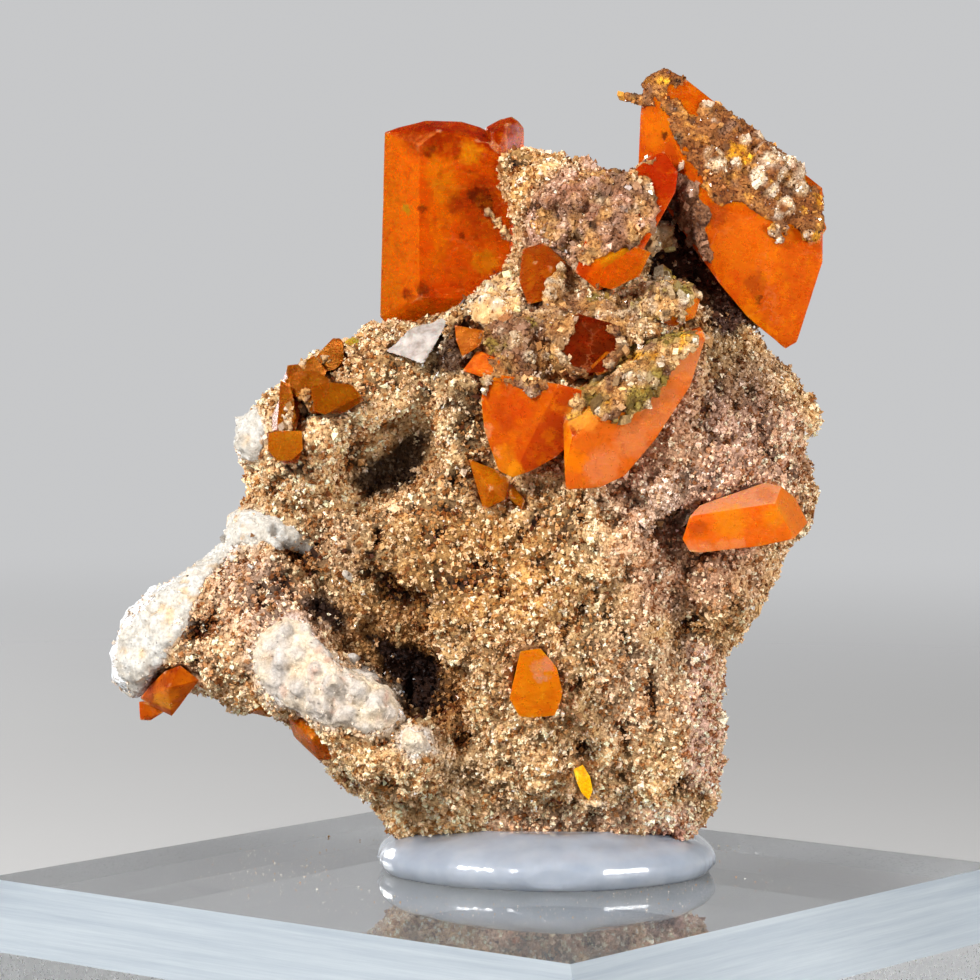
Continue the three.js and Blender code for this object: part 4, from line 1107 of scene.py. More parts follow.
# Small plates in the left cluster and the middle: outline in pixels, the way the face looks, how far
# it stands out in millimetres, thickness and look.
PLATES = {
    "plate_left_top": ([(313, 360), (322, 349), (333, 338), (340, 338), (344, 342), (344, 361), (336, 369),
                        (322, 373), (312, 377), (306, 371)], (-0.25, -0.85, 0.45), 1.3, 2.8, "amber"),
    "plate_left_knob": ([(287, 365), (298, 364), (306, 372), (303, 384), (290, 386), (286, 374)],
                        (-0.5, -0.8, 0.3), 0.5, 2.0, "amber"),
    "plate_left_blade": ([(311, 386), (330, 382), (352, 384), (362, 396), (345, 399), (334, 403), (325, 415),
                          (313, 411)], (0.1, -0.95, 0.3), 0.6, 1.8, "amber"),
    "plate_left_side": ([(280, 380), (290, 384), (294, 400), (296, 418), (288, 434), (277, 426), (279, 400)],
                        (-0.4, -0.9, 0.1), 0.6, 2.0, "amber"),
    "plate_left_low": ([(268, 433), (282, 430), (302, 431), (303, 450), (291, 461), (277, 461), (267, 450)],
                       (-0.2, -0.95, -0.2), 0.7, 2.2, "bright"),
    "plate_left_body": ([(284, 380), (299, 370), (318, 371), (331, 380), (319, 392), (312, 404), (300, 397),
                         (290, 394)], (-0.1, -0.9, 0.4), 0.8, 2.0, "amber"),
    "plate_left_back": ([(299, 364), (314, 355), (327, 370), (321, 386), (304, 386)],
                        (-0.4, -0.85, 0.35), 0.8, 2.2, "amber"),
    "plate_centre_red": ([(550, 324), (578, 313), (612, 323), (628, 345), (606, 372), (574, 374), (554, 352)],
                         (0.1, -0.92, 0.35), 0.9, 2.2, "red"),
    "plate_centre_low": ([(590, 366), (606, 351), (620, 353), (611, 371), (597, 376)],
                         (0.3, -0.9, 0.1), 1.2, 1.2, "orange"),
    "plate_centre_top": ([(604, 268), (636, 246), (652, 252), (640, 276), (612, 290), (596, 286)],
                         (0.2, -0.9, 0.35), 0.5, 1.8, "orange"),
    "plate_yellow_knob": ([(345, 341), (352, 337), (359, 338), (362, 346), (356, 356), (346, 356)],
                          (0.0, -0.9, 0.4), 0.5, 1.6, "straw"),
}
BACK_TAPER = 0.25                   # how much smaller a plate's back is than its front
plate_arrays = []                   # the plates' meshes, for the crusts on them


def small_plate(name, outline, normal, lift, thickness, material):
    """A thin plate whose outline is given in pixels, standing on whatever shows at its middle."""
    middle = np.mean(outline, axis=0)
    hit, _ = shown_at(front_tree, *middle)
    normal = np.array(normal) / np.linalg.norm(normal)
    at = np.array(hit) - forward * lift
    made = bmesh.new()
    for back in (0, 1):
        for u, v in outline:
            u, v = (np.array((u, v)) - middle) * (1 - BACK_TAPER * back) + middle
            ray = pixel_ray(u, v)
            on_face = CAMERA_AT + ray * ((at - CAMERA_AT) @ normal) / (ray @ normal)
            made.verts.new((on_face + forward * back * thickness) * MM)
    wrap(made)
    piece = crystal_look(name, made, material, "wulfenite", edge=0.05, wobble=0.06, longest=0.5)
    plate_arrays.append(mesh_arrays(piece.data))
    return piece


PLATE_LOOKS = {
    "orange": dict(base=(0.62, 0.10, 0.001), deep=(0.4, 0.03, 0.001), light=(0.80, 0.22, 0.002),
                   clear=0.6, rough=0.22, absorption=0.8, mottle=0.4),
    # very dark: the crystal's deep red, darkened further as painted shade between the crusts
    "red": dict(base=(0.10, 0.006, 0.0005), deep=(0.03, 0.002, 0.0005), light=(0.34, 0.025, 0.0005),
                clear=0.45, rough=0.25, absorption=0.8, mottle=0.6),
    "amber": dict(base=(0.38, 0.095, 0.002), deep=(0.16, 0.02, 0.001), light=(0.58, 0.20, 0.004),
                  clear=0.7, rough=0.2, absorption=0.5),
    "bright": dict(base=(0.50, 0.14, 0.003), deep=(0.30, 0.05, 0.001), light=(0.70, 0.28, 0.01),
                   clear=0.6, rough=0.22, absorption=0.6),
    "golden": dict(base=(0.72, 0.20, 0.002), deep=COPPER, light=(0.84, 0.34, 0.005),
                   clear=0.5, rough=0.28, absorption=0.8, mottle=0.12),
    "yellow": dict(base=(0.95, 0.42, 0.004), deep=(0.85, 0.22, 0.002), light=(1.0, 0.72, 0.04), clear=0.35,
                   rough=0.25, absorption=0.4, mottle=0.05),
    "straw": dict(base=(0.62, 0.40, 0.05), deep=(0.40, 0.22, 0.02), light=(0.80, 0.62, 0.20),
                  clear=0.5, rough=0.25, absorption=0.4),
}
PLATE_MARKS = {
    # painted highlight: the pale rose spots on the golden plate's upper face
    "golden": [(546, 664, 0.55, ROSE_GLINT, 0.8), (538, 668, 0.45, ROSE_GLINT, 0.6),
               (550, 677, 0.3, PALE_ROSE, 0.4), (541, 676, 0.3, PALE_ROSE, 0.3),
               (513, 700, 0.6, (0.80, 0.34, 0.01), 0.8), (520, 690, 0.6, (0.80, 0.30, 0.01), 0.6),
               (545, 702, 0.8, COPPER, 0.6), (527, 708, 0.5, (0.60, 0.20, 0.004), 0.6)],
    "yellow": [(576, 775, 0.3, (1.0, 0.75, 0.05), 0.9), (586, 772, 0.35, (0.90, 0.28, 0.004), 0.9),
               (585, 795, 0.35, (0.92, 0.30, 0.004), 0.9), (588, 779, 0.16, (1.0, 0.85, 0.35), 0.9)],
}
plate_materials = {}
for look, values in PLATE_LOOKS.items():
    marks = spots_on(front_tree, PLATE_MARKS.get(look, ()))
    plate_materials[look] = wulfenite("wulfenite_" + look, spots=marks, **values)
for plate, (outline, normal, lift, thickness, look) in PLATES.items():
    small_plate(plate, outline, normal, lift, thickness, plate_materials[look])

# Two crystals whose nodes are replaced by plates made in the same way.
LOWER_FRONT = [(520, 651), (528, 652), (541, 648), (550, 658), (557, 668), (563, 692), (560, 705), (555, 716),
               (533, 718), (519, 717), (509, 699), (514, 688)]
lower_front = small_plate("crystal_lower_front_look", LOWER_FRONT, (0.12, -0.97, -0.12), 0.1, 2.4,
                          plate_materials["golden"])
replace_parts(lower_front, "crystal_lower_front")
CHIP = [(573, 769), (583, 764), (590, 776), (593, 790), (589, 801), (582, 794), (576, 781)]
chip = small_plate("crystal_yellow_chip_look", CHIP, (-0.35, -0.93, 0.05), 0.15, 1.3,
                   plate_materials["yellow"])
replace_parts(chip, "crystal_yellow_chip")


# ---- what is sealed in the clear crystals --------------------------------------------------------

FLAKES = {"crystal_left_plate": 900, "crystal_right_slab": 500}    # how many, before the veils thin them
FLAKE_SIZE = 0.10
FLAKE_MARGIN = 0.25                 # how far in from the faces they stay
BLACK_FLAKES = 0.3                  # share of them that are nearly black


def inside_spots(node, count, rng):
    """Random points inside a crystal, a little way in from its faces."""
    points, triangles = node_arrays(node)
    tree = tree_of(points, triangles)
    found = []
    while len(found) < count:
        spot = Vector(rng.uniform(points.min(0), points.max(0)))
        exits = [tree.ray_cast(spot, Vector(way)) for way in ((0, -1, 0), (0, 1, 0))]
        within = all(hit is not None and normal.y * (hit.y - spot.y) > 0 for hit, normal, _, _ in exits)
        if within and tree.find_nearest(spot)[3] > FLAKE_MARGIN:
            found.append(spot)
    return np.array(found)


def build_inclusions():
    """Dark flakes in the two big crystals, gathered in veils."""
    rng = np.random.default_rng(99)
    flakes = Grains(rng)
    for node, count in FLAKES.items():
        spots = inside_spots(node, count, rng)
        veiled = fractal(spots, 2.2, 70) > rng.uniform(-0.5, 0.6, count)
        spots = spots[veiled]
        size = FLAKE_SIZE * rng.lognormal(0, 0.5, len(spots))
        tint = np.where(rng.random((len(spots), 1)) < BLACK_FLAKES, np.array(BLACK_RED), np.array(BLOOD))
        flakes.add(OCTAHEDRON, spots, size, tint, stretch=0.8)
    flakes.piece("inclusions", grain_surface("dark_flakes", 0.4, 0.0), "wulfenite")


build_inclusions()

# ---- crusts on the crystals ----------------------------------------------------------------------

# What the thin crusts have in common, and the soft white ones.
THIN = dict(radius=0.2, spacing=0.3, voxel=0.12)
SOFT = dict(radius=0.38, spacing=0.45, voxel=0.2, density=8, grain=0.07, dark=0.0, soften=5, blocks=0.0)

# Outlines and lumps are in the picture's pixels, lump radii in millimetres.
CRUSTS = {
    "crust_right_slab": dict(
        nodes=["crystal_right_slab"], tones=(BUFF, RUSSET, RUSSET), accents=(YELLOW, UMBER, DUSK, OCHRE),
        dark=0.36, block=0.22,
        spur=[(644, 101, 0.42), (638, 100, 0.40), (632, 98, 0.38), (626, 97, 0.33), (621, 96, 0.26)],
        outlines=[
            [(660, 101), (676, 98), (692, 118), (700, 104), (716, 101), (735, 113), (748, 116), (762, 138),
             (778, 143), (794, 150), (804, 164), (806, 178), (824, 192), (824, 225), (817, 243), (806, 242),
             (798, 226), (782, 234), (765, 219), (750, 210), (738, 203), (722, 206), (711, 196), (702, 180),
             (694, 166), (682, 152), (676, 135), (668, 118)],
            [(640, 104), (642, 78), (650, 66), (664, 66), (665, 100), (656, 106)],
            [(664, 66), (686, 76), (684, 86), (668, 84)]],
        lumps=[(712, 158, 0.65), (717, 166, 0.6), (708, 167, 0.35), (766, 157, 0.80), (770, 172, 0.90),
               (760, 180, 0.75), (768, 190, 0.60), (787, 165, 0.75), (793, 173, 0.65), (788, 180, 0.5),
               (784, 207, 0.60), (777, 214, 0.4), (744, 142, 0.38), (736, 118, 0.3), (752, 130, 0.4),
               (757, 138, 0.4), (772, 231, 0.35), (779, 240, 0.25), (807, 235, 0.35), (706, 106, 0.35),
               (712, 122, 0.25), (683, 164, 0.25), (800, 190, 0.5), (735, 165, 0.4)], lump_tone=IVORY),
    "crust_ridge": dict(
        nodes=["crystal_ridge_slab", "rock"], tones=(LILAC, DUSK, TAN), accents=(CREAM, UMBER), dark=0.22,
        outlines=[[(550, 195), (574, 176), (584, 160), (598, 172), (606, 160), (622, 160), (636, 170),
                   (650, 180), (658, 200), (654, 226), (634, 244), (608, 258), (588, 266), (560, 250),
                   (540, 240), (528, 220)],
                  [(640, 166), (646, 156), (658, 158), (656, 168)]],
        lumps=[(583, 169, 0.80), (611, 168, 0.85), (618, 184, 0.58), (575, 200, 0.55), (592, 190, 0.6),
               (600, 207, 0.6), (620, 206, 0.55), (560, 240, 0.45), (575, 250, 0.4), (606, 250, 0.35),
               (565, 228, 0.45), (550, 200, 0.5), (640, 224, 0.3), (586, 228, 0.5), (604, 230, 0.45)],
        lump_tone=PALE_ROSE),
    "crust_centre": dict(
        nodes=["crystal_centre_cluster", "crystal_yellow_upper", "crystal_amber_upper", "rock", "plates"],
        tones=(DUSK, RUSSET, TAN), accents=(UMBER, OLIVE, CREAM), dark=0.25,
        outlines=[[(476, 338), (496, 316), (530, 308), (560, 316), (562, 338), (560, 352), (574, 376),
                   (556, 386), (540, 394), (520, 390), (500, 380), (486, 362)],
                  [(545, 300), (548, 276), (566, 262), (592, 266), (604, 290), (640, 298), (640, 326),
                   (612, 334), (596, 316), (566, 322), (540, 314)],
                  [(546, 318), (566, 310), (584, 318), (574, 334), (566, 350), (574, 364), (588, 370),
                   (584, 380), (560, 384), (544, 352)],
                  [(594, 314), (618, 318), (634, 345), (612, 378), (602, 364), (618, 346), (606, 328)]],
        lumps=[(550, 294, 0.42), (560, 297, 0.42), (582, 297, 0.3), (532, 393, 0.28), (528, 357, 0.45),
               (545, 355, 0.35), (518, 342, 0.35), (500, 330, 0.3), (488, 380, 0.35), (486, 392, 0.28),
               (598, 314, 0.3), (548, 284, 0.3), (576, 268, 0.35), (560, 268, 0.35), (635, 312, 0.4)]),
    "crust_blade": dict(
        nodes=["crystal_centre_cluster"], tones=(TAN, SAND, OLIVE), accents=(YELLOW, UMBER, DUSK),
        dark=0.22,
        outlines=[[(566, 404), (578, 390), (600, 368), (620, 352), (650, 340), (680, 332), (698, 332),
                   (690, 352), (672, 372), (658, 400), (640, 414), (616, 425), (602, 422), (596, 408),
                   (584, 406), (576, 420), (566, 424)]],
        lumps=[(632, 380, 0.42), (642, 379, 0.45), (652, 381, 0.38), (596, 412, 0.3),
               (648, 404, 0.32), (625, 352, 0.3), (662, 362, 0.36), (684, 350, 0.3), (694, 340, 0.3)]),
    "crust_nodule": dict(
        nodes=["crystal_nodule", "rock"], tones=(SAND, TAN, OLIVE), accents=(CREAM, UMBER, DUSK),
        dark=0.25,
        outlines=[[(632, 302), (639, 287), (655, 276), (678, 274), (690, 283), (697, 297), (690, 311),
                   (676, 317), (652, 321), (634, 316)]],
        lumps=[(656, 284, 0.7), (646, 288, 0.45), (637, 311, 0.55), (656, 306, 0.6), (650, 312, 0.4),
               (666, 316, 0.35), (680, 318, 0.35), (697, 296, 0.35), (668, 290, 0.45), (682, 300, 0.4)]),
    "crust_left_cluster": dict(
        nodes=["crystal_left_cluster", "plates"], tones=(GREY, CREAM, TAN), accents=(UMBER, WHITE),
        blocks=2.6, **THIN,
        outlines=[[(294, 388), (307, 390), (312, 402), (308, 414), (298, 410)],
                  [(282, 402), (293, 400), (296, 420), (290, 433), (280, 430)],
                  [(299, 366), (304, 360), (312, 354), (312, 360), (304, 368)],
                  [(314, 362), (324, 356), (330, 360), (322, 366)]],
        lumps=[(303, 363, 0.22), (308, 359, 0.2)]),
    "crust_white_tip": dict(
        nodes=["rock"], tones=(WHITE, WHITE, WHITE), accents=(CREAM,), shading=0.8, lump_tone=WHITE, **SOFT,
        outlines=[[(114, 660), (121, 632), (150, 598), (180, 576), (222, 541), (238, 545), (206, 580),
                   (186, 624), (164, 660), (148, 682), (136, 704), (124, 690)],
                  [(232, 424), (256, 406), (266, 436), (258, 460), (238, 458)],
                  [(208, 520), (222, 508), (262, 510), (282, 530), (262, 545), (225, 545)],
                  [(256, 512), (282, 518), (302, 534), (316, 546), (308, 556), (284, 550), (262, 544)]],
        lumps=[(130, 640, 0.6), (150, 620, 0.6), (170, 598, 0.55), (142, 668, 0.6), (196, 576, 0.5),
               (246, 440, 0.6), (244, 424, 0.45), (250, 526, 0.4), (228, 520, 0.4), (268, 530, 0.5),
               (284, 536, 0.45), (276, 546, 0.35), (303, 547, 0.4), (234, 560, 0.35), (252, 566, 0.3)]),
    "crust_white_patch": dict(
        nodes=["rock"], tones=(MILK, MILK, PEARL), accents=(PALE_ROSE,), shading=0.9, lump_tone=MILK, **SOFT,
        outlines=[WHITE_PATCH,
                  [(404, 728), (430, 732), (432, 750), (410, 760), (398, 745)],
                  [(345, 570), (352, 570), (352, 582), (343, 580)]],
        lumps=[(270, 644, 0.45), (286, 630, 0.5), (302, 630, 0.4), (312, 644, 0.4), (326, 656, 0.4),
               (280, 660, 0.5), (300, 656, 0.55), (316, 670, 0.5), (332, 684, 0.7), (352, 690, 0.75),
               (372, 702, 0.7), (345, 712, 0.6), (322, 704, 0.55), (298, 684, 0.5), (388, 714, 0.45),
               (348, 574, 0.35), (352, 660, 0.4)]),
    "crust_cream": dict(
        nodes=["rock"], tones=(CREAM, BEIGE, SAND), accents=(OCHRE, TAN), blocks=1.2,
        outlines=[[(466, 318), (478, 290), (500, 272), (524, 276), (528, 292), (510, 322), (486, 326)]],
        lumps=[(490, 292, 0.5), (496, 306, 0.5), (510, 290, 0.45), (522, 284, 0.35), (484, 302, 0.4),
               (657, 236, 0.85), (666, 245, 0.6), (652, 246, 0.55), (648, 234, 0.6)], lump_tone=CHALK),
    # painted shadow: dark tones for the crust in the shaded gap beside the right slab
    "crust_gap": dict(
        nodes=["crystal_right_slab", "rock"], tones=(DUSK, UMBER, DUSK), accents=(WINE, LILAC), blocks=1.0,
        dark=0.35, rock_reach=1.5,
        outlines=[[(668, 180), (682, 172), (694, 184), (702, 204), (712, 212), (708, 232), (714, 262),
                   (704, 262), (690, 240), (676, 222), (664, 206)]],
        lumps=[(682, 182, 0.35), (690, 190, 0.35), (684, 196, 0.3)], lump_tone=LILAC),
    "crust_chip": dict(
        nodes=["rock"], tones=(PEARL, YELLOW, CREAM), accents=(YELLOW, UMBER), blocks=1.0, rock_reach=1.0,
        **THIN,
        outlines=[[(588, 802), (596, 794), (606, 800), (604, 812), (594, 814), (586, 810)]],
        lumps=[(600, 801, 0.25), (592, 809, 0.22)]),
    "crust_rope": dict(
        nodes=["crystal_left_plate", "rock"], tones=(DUSK, GREY, UMBER), accents=(CREAM, WINE), radius=0.2,
        spacing=0.3, voxel=0.13, blocks=1.0, dark=0.3, rock_reach=1.0,
        outlines=[[(430, 320), (448, 309), (466, 300), (484, 284), (494, 272), (504, 266), (506, 274),
                   (494, 288), (474, 306), (450, 318), (434, 327)]],
        lumps=[(452, 311, 0.2), (462, 305, 0.22), (472, 300, 0.2), (484, 290, 0.22)]),
    "crust_crack": dict(
        nodes=["crystal_left_plate"], tones=(TAN, DUSK, SAND), accents=(CREAM, UMBER), radius=0.10,
        spacing=0.16, voxel=0.08, density=30, grain=0.06, blocks=0.0,
        outlines=[[(481, 212), (488, 204), (500, 216), (509, 227), (518, 234), (516, 246), (503, 240),
                   (490, 227)]],
        lumps=[(488, 213, 0.14), (495, 221, 0.12), (503, 231, 0.14)]),
}

CRUST_TRIES = 250000                # spots tried on what a crust lies on
RAGGED = 5                          # how far noise moves a crust's edge, in pixels
CRYSTAL_REACH = 9.0                 # how far behind what shows a crust on crystals alone may lie
COVERED = 0.6                       # share of a crust's surface that grains are counted for
BACK_WEIGHT = 0.35                  # how thickly the side turned away is covered
BRIGHTEST_CORE, BRIGHTEST_BLOCK, BRIGHTEST_SPIKE = 0.90, 0.85, 0.92
SPIKE_SHARE = 0.6                   # of a crust's grains
EDGE_SIZE = 0.45                    # how large balls are at a crust's edge, as a share
EDGE_WIDTH = 14                     # within how many pixels of the edge balls would grow by a full share
BALL_SINK, LUMP_RISE = 0.15, 0.45   # how far balls sink in and lumps stand out, as a share of their radius
LUMP_SIDE = 1.75                    # size of a lump's brick for its radius
SHADED_GRAIN = 0.25                 # how dark the dark grains are


def crust_balls(rng, points, triangles, outlines, lumps, spur, reach, radius, spacing):
    """Centres and radii of the balls that a crust is built from, and of its pale lumps.

    A spur is a row of balls that starts on the crystal and goes on past its edge at the same depth.
    """
    spots, normals, _ = scatter(points, triangles, CRUST_TRIES, rng)
    u, v = to_pixels(spots)
    inside = np.max([inside_outline(u, v, outline) for outline in outlines], axis=0)
    near = inside > -RAGGED - 1
    spots, normals, inside = spots[near], normals[near], inside[near]
    inside = inside + RAGGED * fractal(spots, 1.2, 31)
    keep = np.flatnonzero(inside > 0)
    keep = keep[thinned(spots[keep], spacing)]
    tree = tree_of(points, triangles)
    chosen = []
    for k in keep:
        ahead = tree.ray_cast(Vector(CAMERA_AT), Vector(spots[k] - CAMERA_AT).normalized())[0]
        if ahead is not None and (np.array(ahead) - spots[k]) @ forward > -reach:
            chosen.append(k)
    thinning = np.clip(EDGE_SIZE + inside[chosen] / EDGE_WIDTH, EDGE_SIZE, 1)
    size = radius * rng.uniform(0.65, 1.2, len(chosen)) * thinning
    centres = [spots[k] - BALL_SINK * r * normals[k] for k, r in zip(chosen, size)]
    whites = []
    for lump_u, lump_v, lump_radius in lumps:
        hit, normal = shown_at(tree, lump_u, lump_v)
        if hit is not None:
            whites.append((np.array(hit) + np.array(normal) * lump_radius * LUMP_RISE, lump_radius))
    radii = list(size)
    if spur:
        start, _ = shown_at(tree, *spur[0][:2])
        spur_depth = (np.array(start) - CAMERA_AT) @ forward
    for spur_u, spur_v, spur_radius in spur:
        ray = pixel_ray(spur_u, spur_v)
        centres.append(CAMERA_AT + ray * spur_depth / (ray @ forward))
        radii.append(spur_radius)
    return centres, radii, whites


def crust_ground(nodes):
    """Points and triangles of what a crust lies on."""
    grounds = [node_arrays(node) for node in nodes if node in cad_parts]
    if "rock" in nodes:
        grounds.append((rock_points, rock_triangles))
    if "plates" in nodes:
        grounds += plate_arrays
    return joined(grounds)


def lump_share(points, whites):
    """How much each point belongs to one of a crust's pale lumps."""
    share = np.zeros(len(points))
    for centre, radius in whites:
        away = np.linalg.norm(points - centre, axis=1) / radius
        share = np.maximum(share, np.clip(2.6 - 2.2 * away, 0, 1))
    return share


def crust_tint(points, rng, tones, accents, whites, lump_tone, spread):
    """Patchy colour of a crust with its pale lumps."""
    colour = np.tile(np.array(tones[0]), (len(points), 1))
    for k, tone in enumerate(tones[1:]):
        colour = blended(colour, tone, np.clip(0.5 + 2.2 * fractal(points, 1.4, 60 + k), 0, 1))
    for k, tone in enumerate(accents):
        colour = blended(colour, tone, np.clip(4 * (fractal(points, 0.9, 80 + k) - 0.22), 0, 0.9))
    colour = blended(colour, lump_tone, lump_share(points, whites))
    return colour * (1 + spread * rng.normal(size=(len(points), 1)))


def build_crust(name, nodes, tones, accents, outlines, lumps, rock_reach=2.5, radius=0.31, spacing=0.40,
                voxel=0.18, density=21, grain=0.095, dark=0.16, shading=3.0, soften=2, blocks=1.6,
                block=0.28, spur=(), lump_tone=PEARL):
    """A lumpy crust with grains and blocks that lies on crystals, on the rock or on both, with painted shade
    in its dips.
    """
    rng = np.random.default_rng(sum(map(ord, name)))
    reach = rock_reach if "rock" in nodes else CRYSTAL_REACH
    shape = (outlines, lumps, spur, reach, radius, spacing)
    centres, radii, whites = crust_balls(rng, *crust_ground(nodes), *shape)
    heap = Grains(rng)
    heap.add(LUMP, np.array(centres), np.array(radii), np.ones((len(centres), 3)), stretch=0.2)
    if whites:
        middles = np.array([centre for centre, _ in whites])
        sides = np.array([LUMP_SIDE * size for _, size in whites])
        heap.add(BRICK, middles, sides, np.ones((len(middles), 3)), stretch=0.25)
    core, faces = remeshed(bare_mesh(*heap.arrays()), voxel, soften)
    normals = vertex_normals(core, faces)
    fine = pebbles(core, 0.36, 3)
    relief = 0.15 * (0.5 - fine) + 0.16 * fractal(core, 0.6, 4)
    core = core + normals * relief[:, None]
    paint = (tones, accents, whites, lump_tone)
    tint = crust_tint(core, rng, *paint, 0.0)
    # painted shade: the crust darkens in its dips, as strongly as the shading asks
    tint = darkened(tint, np.clip(1 - shading * (0.09 - relief), 0.3, 1))
    surface = white_core if lump_tone in (WHITE, MILK, CHALK) else crust_core
    new_piece(name, core, faces, surface, "rock", np.clip(tint, 0, BRIGHTEST_CORE), smooth=True)
    a, b, c = (core[faces[:, k]] for k in range(3))
    cross = np.cross(b - a, c - a)
    area = 0.5 * np.linalg.norm(cross, axis=1).sum()
    weight = np.where(cross[:, 1] < 0, 1.0, BACK_WEIGHT)
    spots, _, _ = scatter(core, faces, int(area * density * COVERED), rng, weight)
    size = grain * rng.lognormal(0, 0.38, len(spots))
    tint = crust_tint(spots, rng, *paint, 0.30)
    shaded = rng.random(len(spots)) < dark * (1 - 0.9 * lump_share(spots, whites))
    tint = np.where(shaded[:, None], darkened(tint, np.full(len(tint), SHADED_GRAIN)), tint)
    grains = Grains(rng)
    places, _, _ = scatter(core, faces, int(area * blocks * COVERED) + 1, rng, weight)
    block_tint = crust_tint(places, rng, *paint, 0.2)
    block_tint *= rng.lognormal(0, 0.25, (len(places), 1))
    block_sizes = block * rng.lognormal(0, 0.3, len(places))
    grains.add(BRICK, places, block_sizes, np.clip(block_tint, 0, BRIGHTEST_BLOCK), stretch=0.4)
    tint = np.clip(tint, 0, BRIGHTEST_SPIKE)
    some = rng.random(len(spots)) < SPIKE_SHARE
    grains.add_some(SPIKE, some, spots, size, tint)
    grains.add_some(OCTAHEDRON, ~some, spots, size, tint)
    grains.piece(name + "_grains", crust_material, "rock")


crust_core = rock_surface("crust_base", 0.20, PITTED)
white_core = rock_surface("white_base", 0.30, EVEN)
crust_material = grain_surface("crust_grains", 0.35, 0.3)
for crust, parts in CRUSTS.items():
    build_crust(crust, **parts)

# ---- glue ----------------------------------------------------------------------------------------

GLUE_VOXEL, GLUE_SOFTENING = 0.3, 8
GLUE_SWELL = 0.28                   # makes up for what the softening takes away


def build_glue():
    """The glue pad with soft swellings, kept inside the CAD node's box."""
    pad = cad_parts["glue_pad"].data.copy()
    points, triangles = remeshed(pad, GLUE_VOXEL, GLUE_SOFTENING)
    normals = vertex_normals(points, triangles)
    swell = GLUE_SWELL + 0.16 * smooth_noise(points, 4.0, 5) + 0.07 * smooth_noise(points, 1.5, 6)
    points = points + normals * swell[:, None]
    box = node_arrays("glue_pad")[0]
    points = np.clip(points, box.min(0), box.max(0))
    glue = new_piece("glue", points, triangles, glue_surface(), "glue", smooth=True)
    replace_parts(glue, "glue_pad")


build_glue()

# ---- acrylic block -------------------------------------------------------------------------------

block_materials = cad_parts["acrylic_base"].data.materials
block_materials.clear()
block_materials.append(acrylic_surface())

SPECKS = 1300
SPECK_SIZE = 0.032
PALE_SPECKS = 0.7                   # share of the specks that are white
DUST_REACH = 0.3                    # how far from the middle dust lies, as a share of the block's top


def build_dust():
    """Specks of dust and crumbs of rock that lie on the block's top."""
    rng = np.random.default_rng(5)
    points, _ = node_arrays("acrylic_base")
    top = points[:, 2].max()
    rim = points[points[:, 2] > top - 0.01]
    middle = rim.mean(0)
    reach = DUST_REACH * np.ptp(rim[:, :2], axis=0).min()
    pad = np.ptp(node_arrays("glue_pad")[0], axis=0)[:2].max() / 2
    size = SPECK_SIZE * rng.lognormal(0, 0.5, SPECKS)
    away = rng.uniform(pad, reach, SPECKS)
    turn = rng.uniform(0, 2 * math.pi, SPECKS)
    x = middle[0] + away * np.cos(turn)
    y = middle[1] + away * np.sin(turn)
    spots = np.stack([x, y, top + 0.6 * size], axis=1)
    dust = Grains(rng)
    tint = np.where(rng.random((SPECKS, 1)) < PALE_SPECKS, np.array(WHITE), np.array(TAN))
    dust.add(SPIKE, spots, size, tint)
    dust.piece("dust", grain_surface("dust_pale", 0.7, 0.0))


build_dust()

# ---- floor, light and camera ---------------------------------------------------------------------

FLOOR_TONE = (0.52, 0.515, 0.51)
HORIZON_TONE = (0.57, 0.575, 0.585)
CEILING_TONE = (0.07, 0.066, 0.062)
FLOOR_REACH = 1000
FLOOR_DROP = 0.02                   # how far the floor lies under the block, so that they don't flicker
FADE_FROM, FADE_TO = 60, 420        # where the floor starts and ends fading away
# Soft boxes: where each stands, its width and height, and its power in watts.
SOFT_BOXES = {
    "key_left": ((-190, -200, 210), (55, 75), 1.9),
    "fill_right": ((250, -180, 110), (90, 120), 1.05),
    "rim_back": ((-230, 250, 110), (160, 100), 0.5),
}
LIT = (0, 0, 36)                    # what the soft boxes are aimed at
HORIZON_TO, CEILING_FROM = 0.12, 0.45                              # heights in the room's own scale


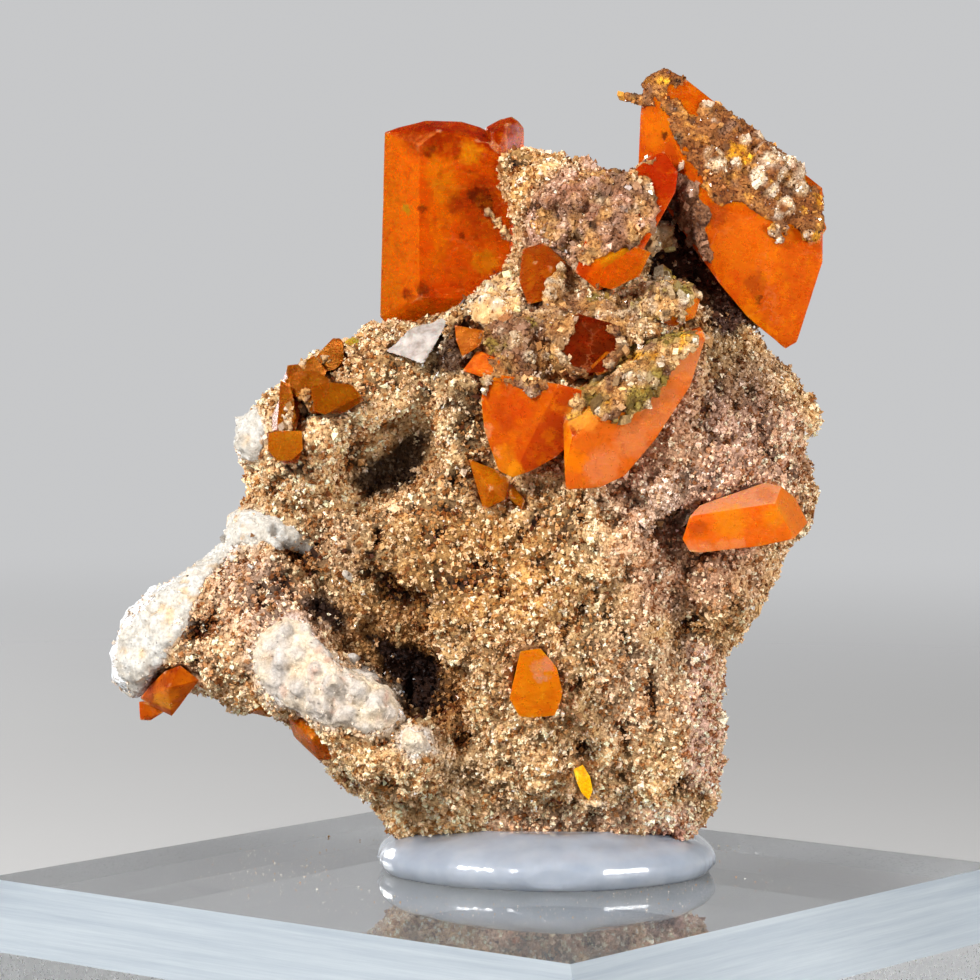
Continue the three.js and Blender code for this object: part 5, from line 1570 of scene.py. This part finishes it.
def build_stage():
    """A pale floor that fades into the horizon by its distance from the object."""
    s = Surface("floor_pale")
    darker = tuple(0.98 * c for c in FLOOR_TONE)
    s.set(Base_Color=s.ramp(s.noise(60, 2, 0.5), [(0.3, FLOOR_TONE), (0.7, darker)]), Roughness=0.9)
    distance = s.node("VectorMath", {0: s.coordinates()}, operation="LENGTH").outputs["Value"]
    away = s.fade(distance, FADE_FROM * MM, FADE_TO * MM)
    clear = s.node("BsdfTransparent").outputs["BSDF"]
    faded = s.node("MixShader", {"Fac": away, 1: s.shader.outputs["BSDF"], 2: clear})
    s.feed(s.output.inputs["Surface"], faded.outputs["Shader"])
    reach, depth = FLOOR_REACH * MM, -FLOOR_DROP * MM
    corners = [(-reach, -reach, depth), (reach, -reach, depth), (reach, reach, depth), (-reach, reach, depth)]
    mesh = bpy.data.meshes.new("floor")
    mesh.from_pydata(corners, [], [(0, 1, 2, 3)])
    mesh.materials.append(s.material)
    floor = linked("floor", mesh)


def add_light(name, at, size, power):
    """A soft box that is aimed at the specimen."""
    light = bpy.data.lights.new(name, "AREA")
    light.shape = "RECTANGLE"
    light.size, light.size_y = size[0] * MM, size[1] * MM
    light.energy = power
    lamp = linked(name, light)
    lamp.location = Vector(at) * MM
    lamp.rotation_euler = (Vector(LIT) - Vector(at)).to_track_quat("-Z", "Y").to_euler()


def build_light():
    """Three soft boxes and a room that is brightest along the horizon."""
    for name, box in SOFT_BOXES.items():
        add_light(name, *box)
    world = bpy.data.worlds.new("studio")
    world.use_nodes = True
    tree = world.node_tree
    direction = tree.nodes.new("ShaderNodeTexCoord").outputs["Generated"]
    parts = tree.nodes.new("ShaderNodeSeparateXYZ")
    ramp = tree.nodes.new("ShaderNodeValToRGB")
    stops = ((HORIZON_TO, HORIZON_TONE), (CEILING_FROM, CEILING_TONE))
    for element, (position, tone) in zip(ramp.color_ramp.elements, stops):
        element.position = position
        element.color = (*tone, 1)
    tree.links.new(direction, parts.inputs["Vector"])
    tree.links.new(parts.outputs["Z"], ramp.inputs["Fac"])
    tree.links.new(ramp.outputs["Color"], tree.nodes["Background"].inputs["Color"])
    bpy.context.scene.world = world


def build_camera():
    """The camera that the pixel coordinates above belong to."""
    lens = bpy.data.cameras.new("camera")
    lens.sensor_width = SENSOR
    lens.lens = SENSOR * FOCAL / PICTURE
    lens.clip_start = 0.01
    lens.clip_end = 20
    camera = linked("camera", lens)
    turn = Matrix(np.array([right, upward, -forward]).T.tolist()).to_4x4()
    camera.matrix_world = Matrix.Translation(Vector(CAMERA_AT.tolist()) * MM) @ turn
    bpy.context.scene.camera = camera


build_stage()
build_light()
build_camera()
bpy.context.scene.view_settings.view_transform = "Standard"
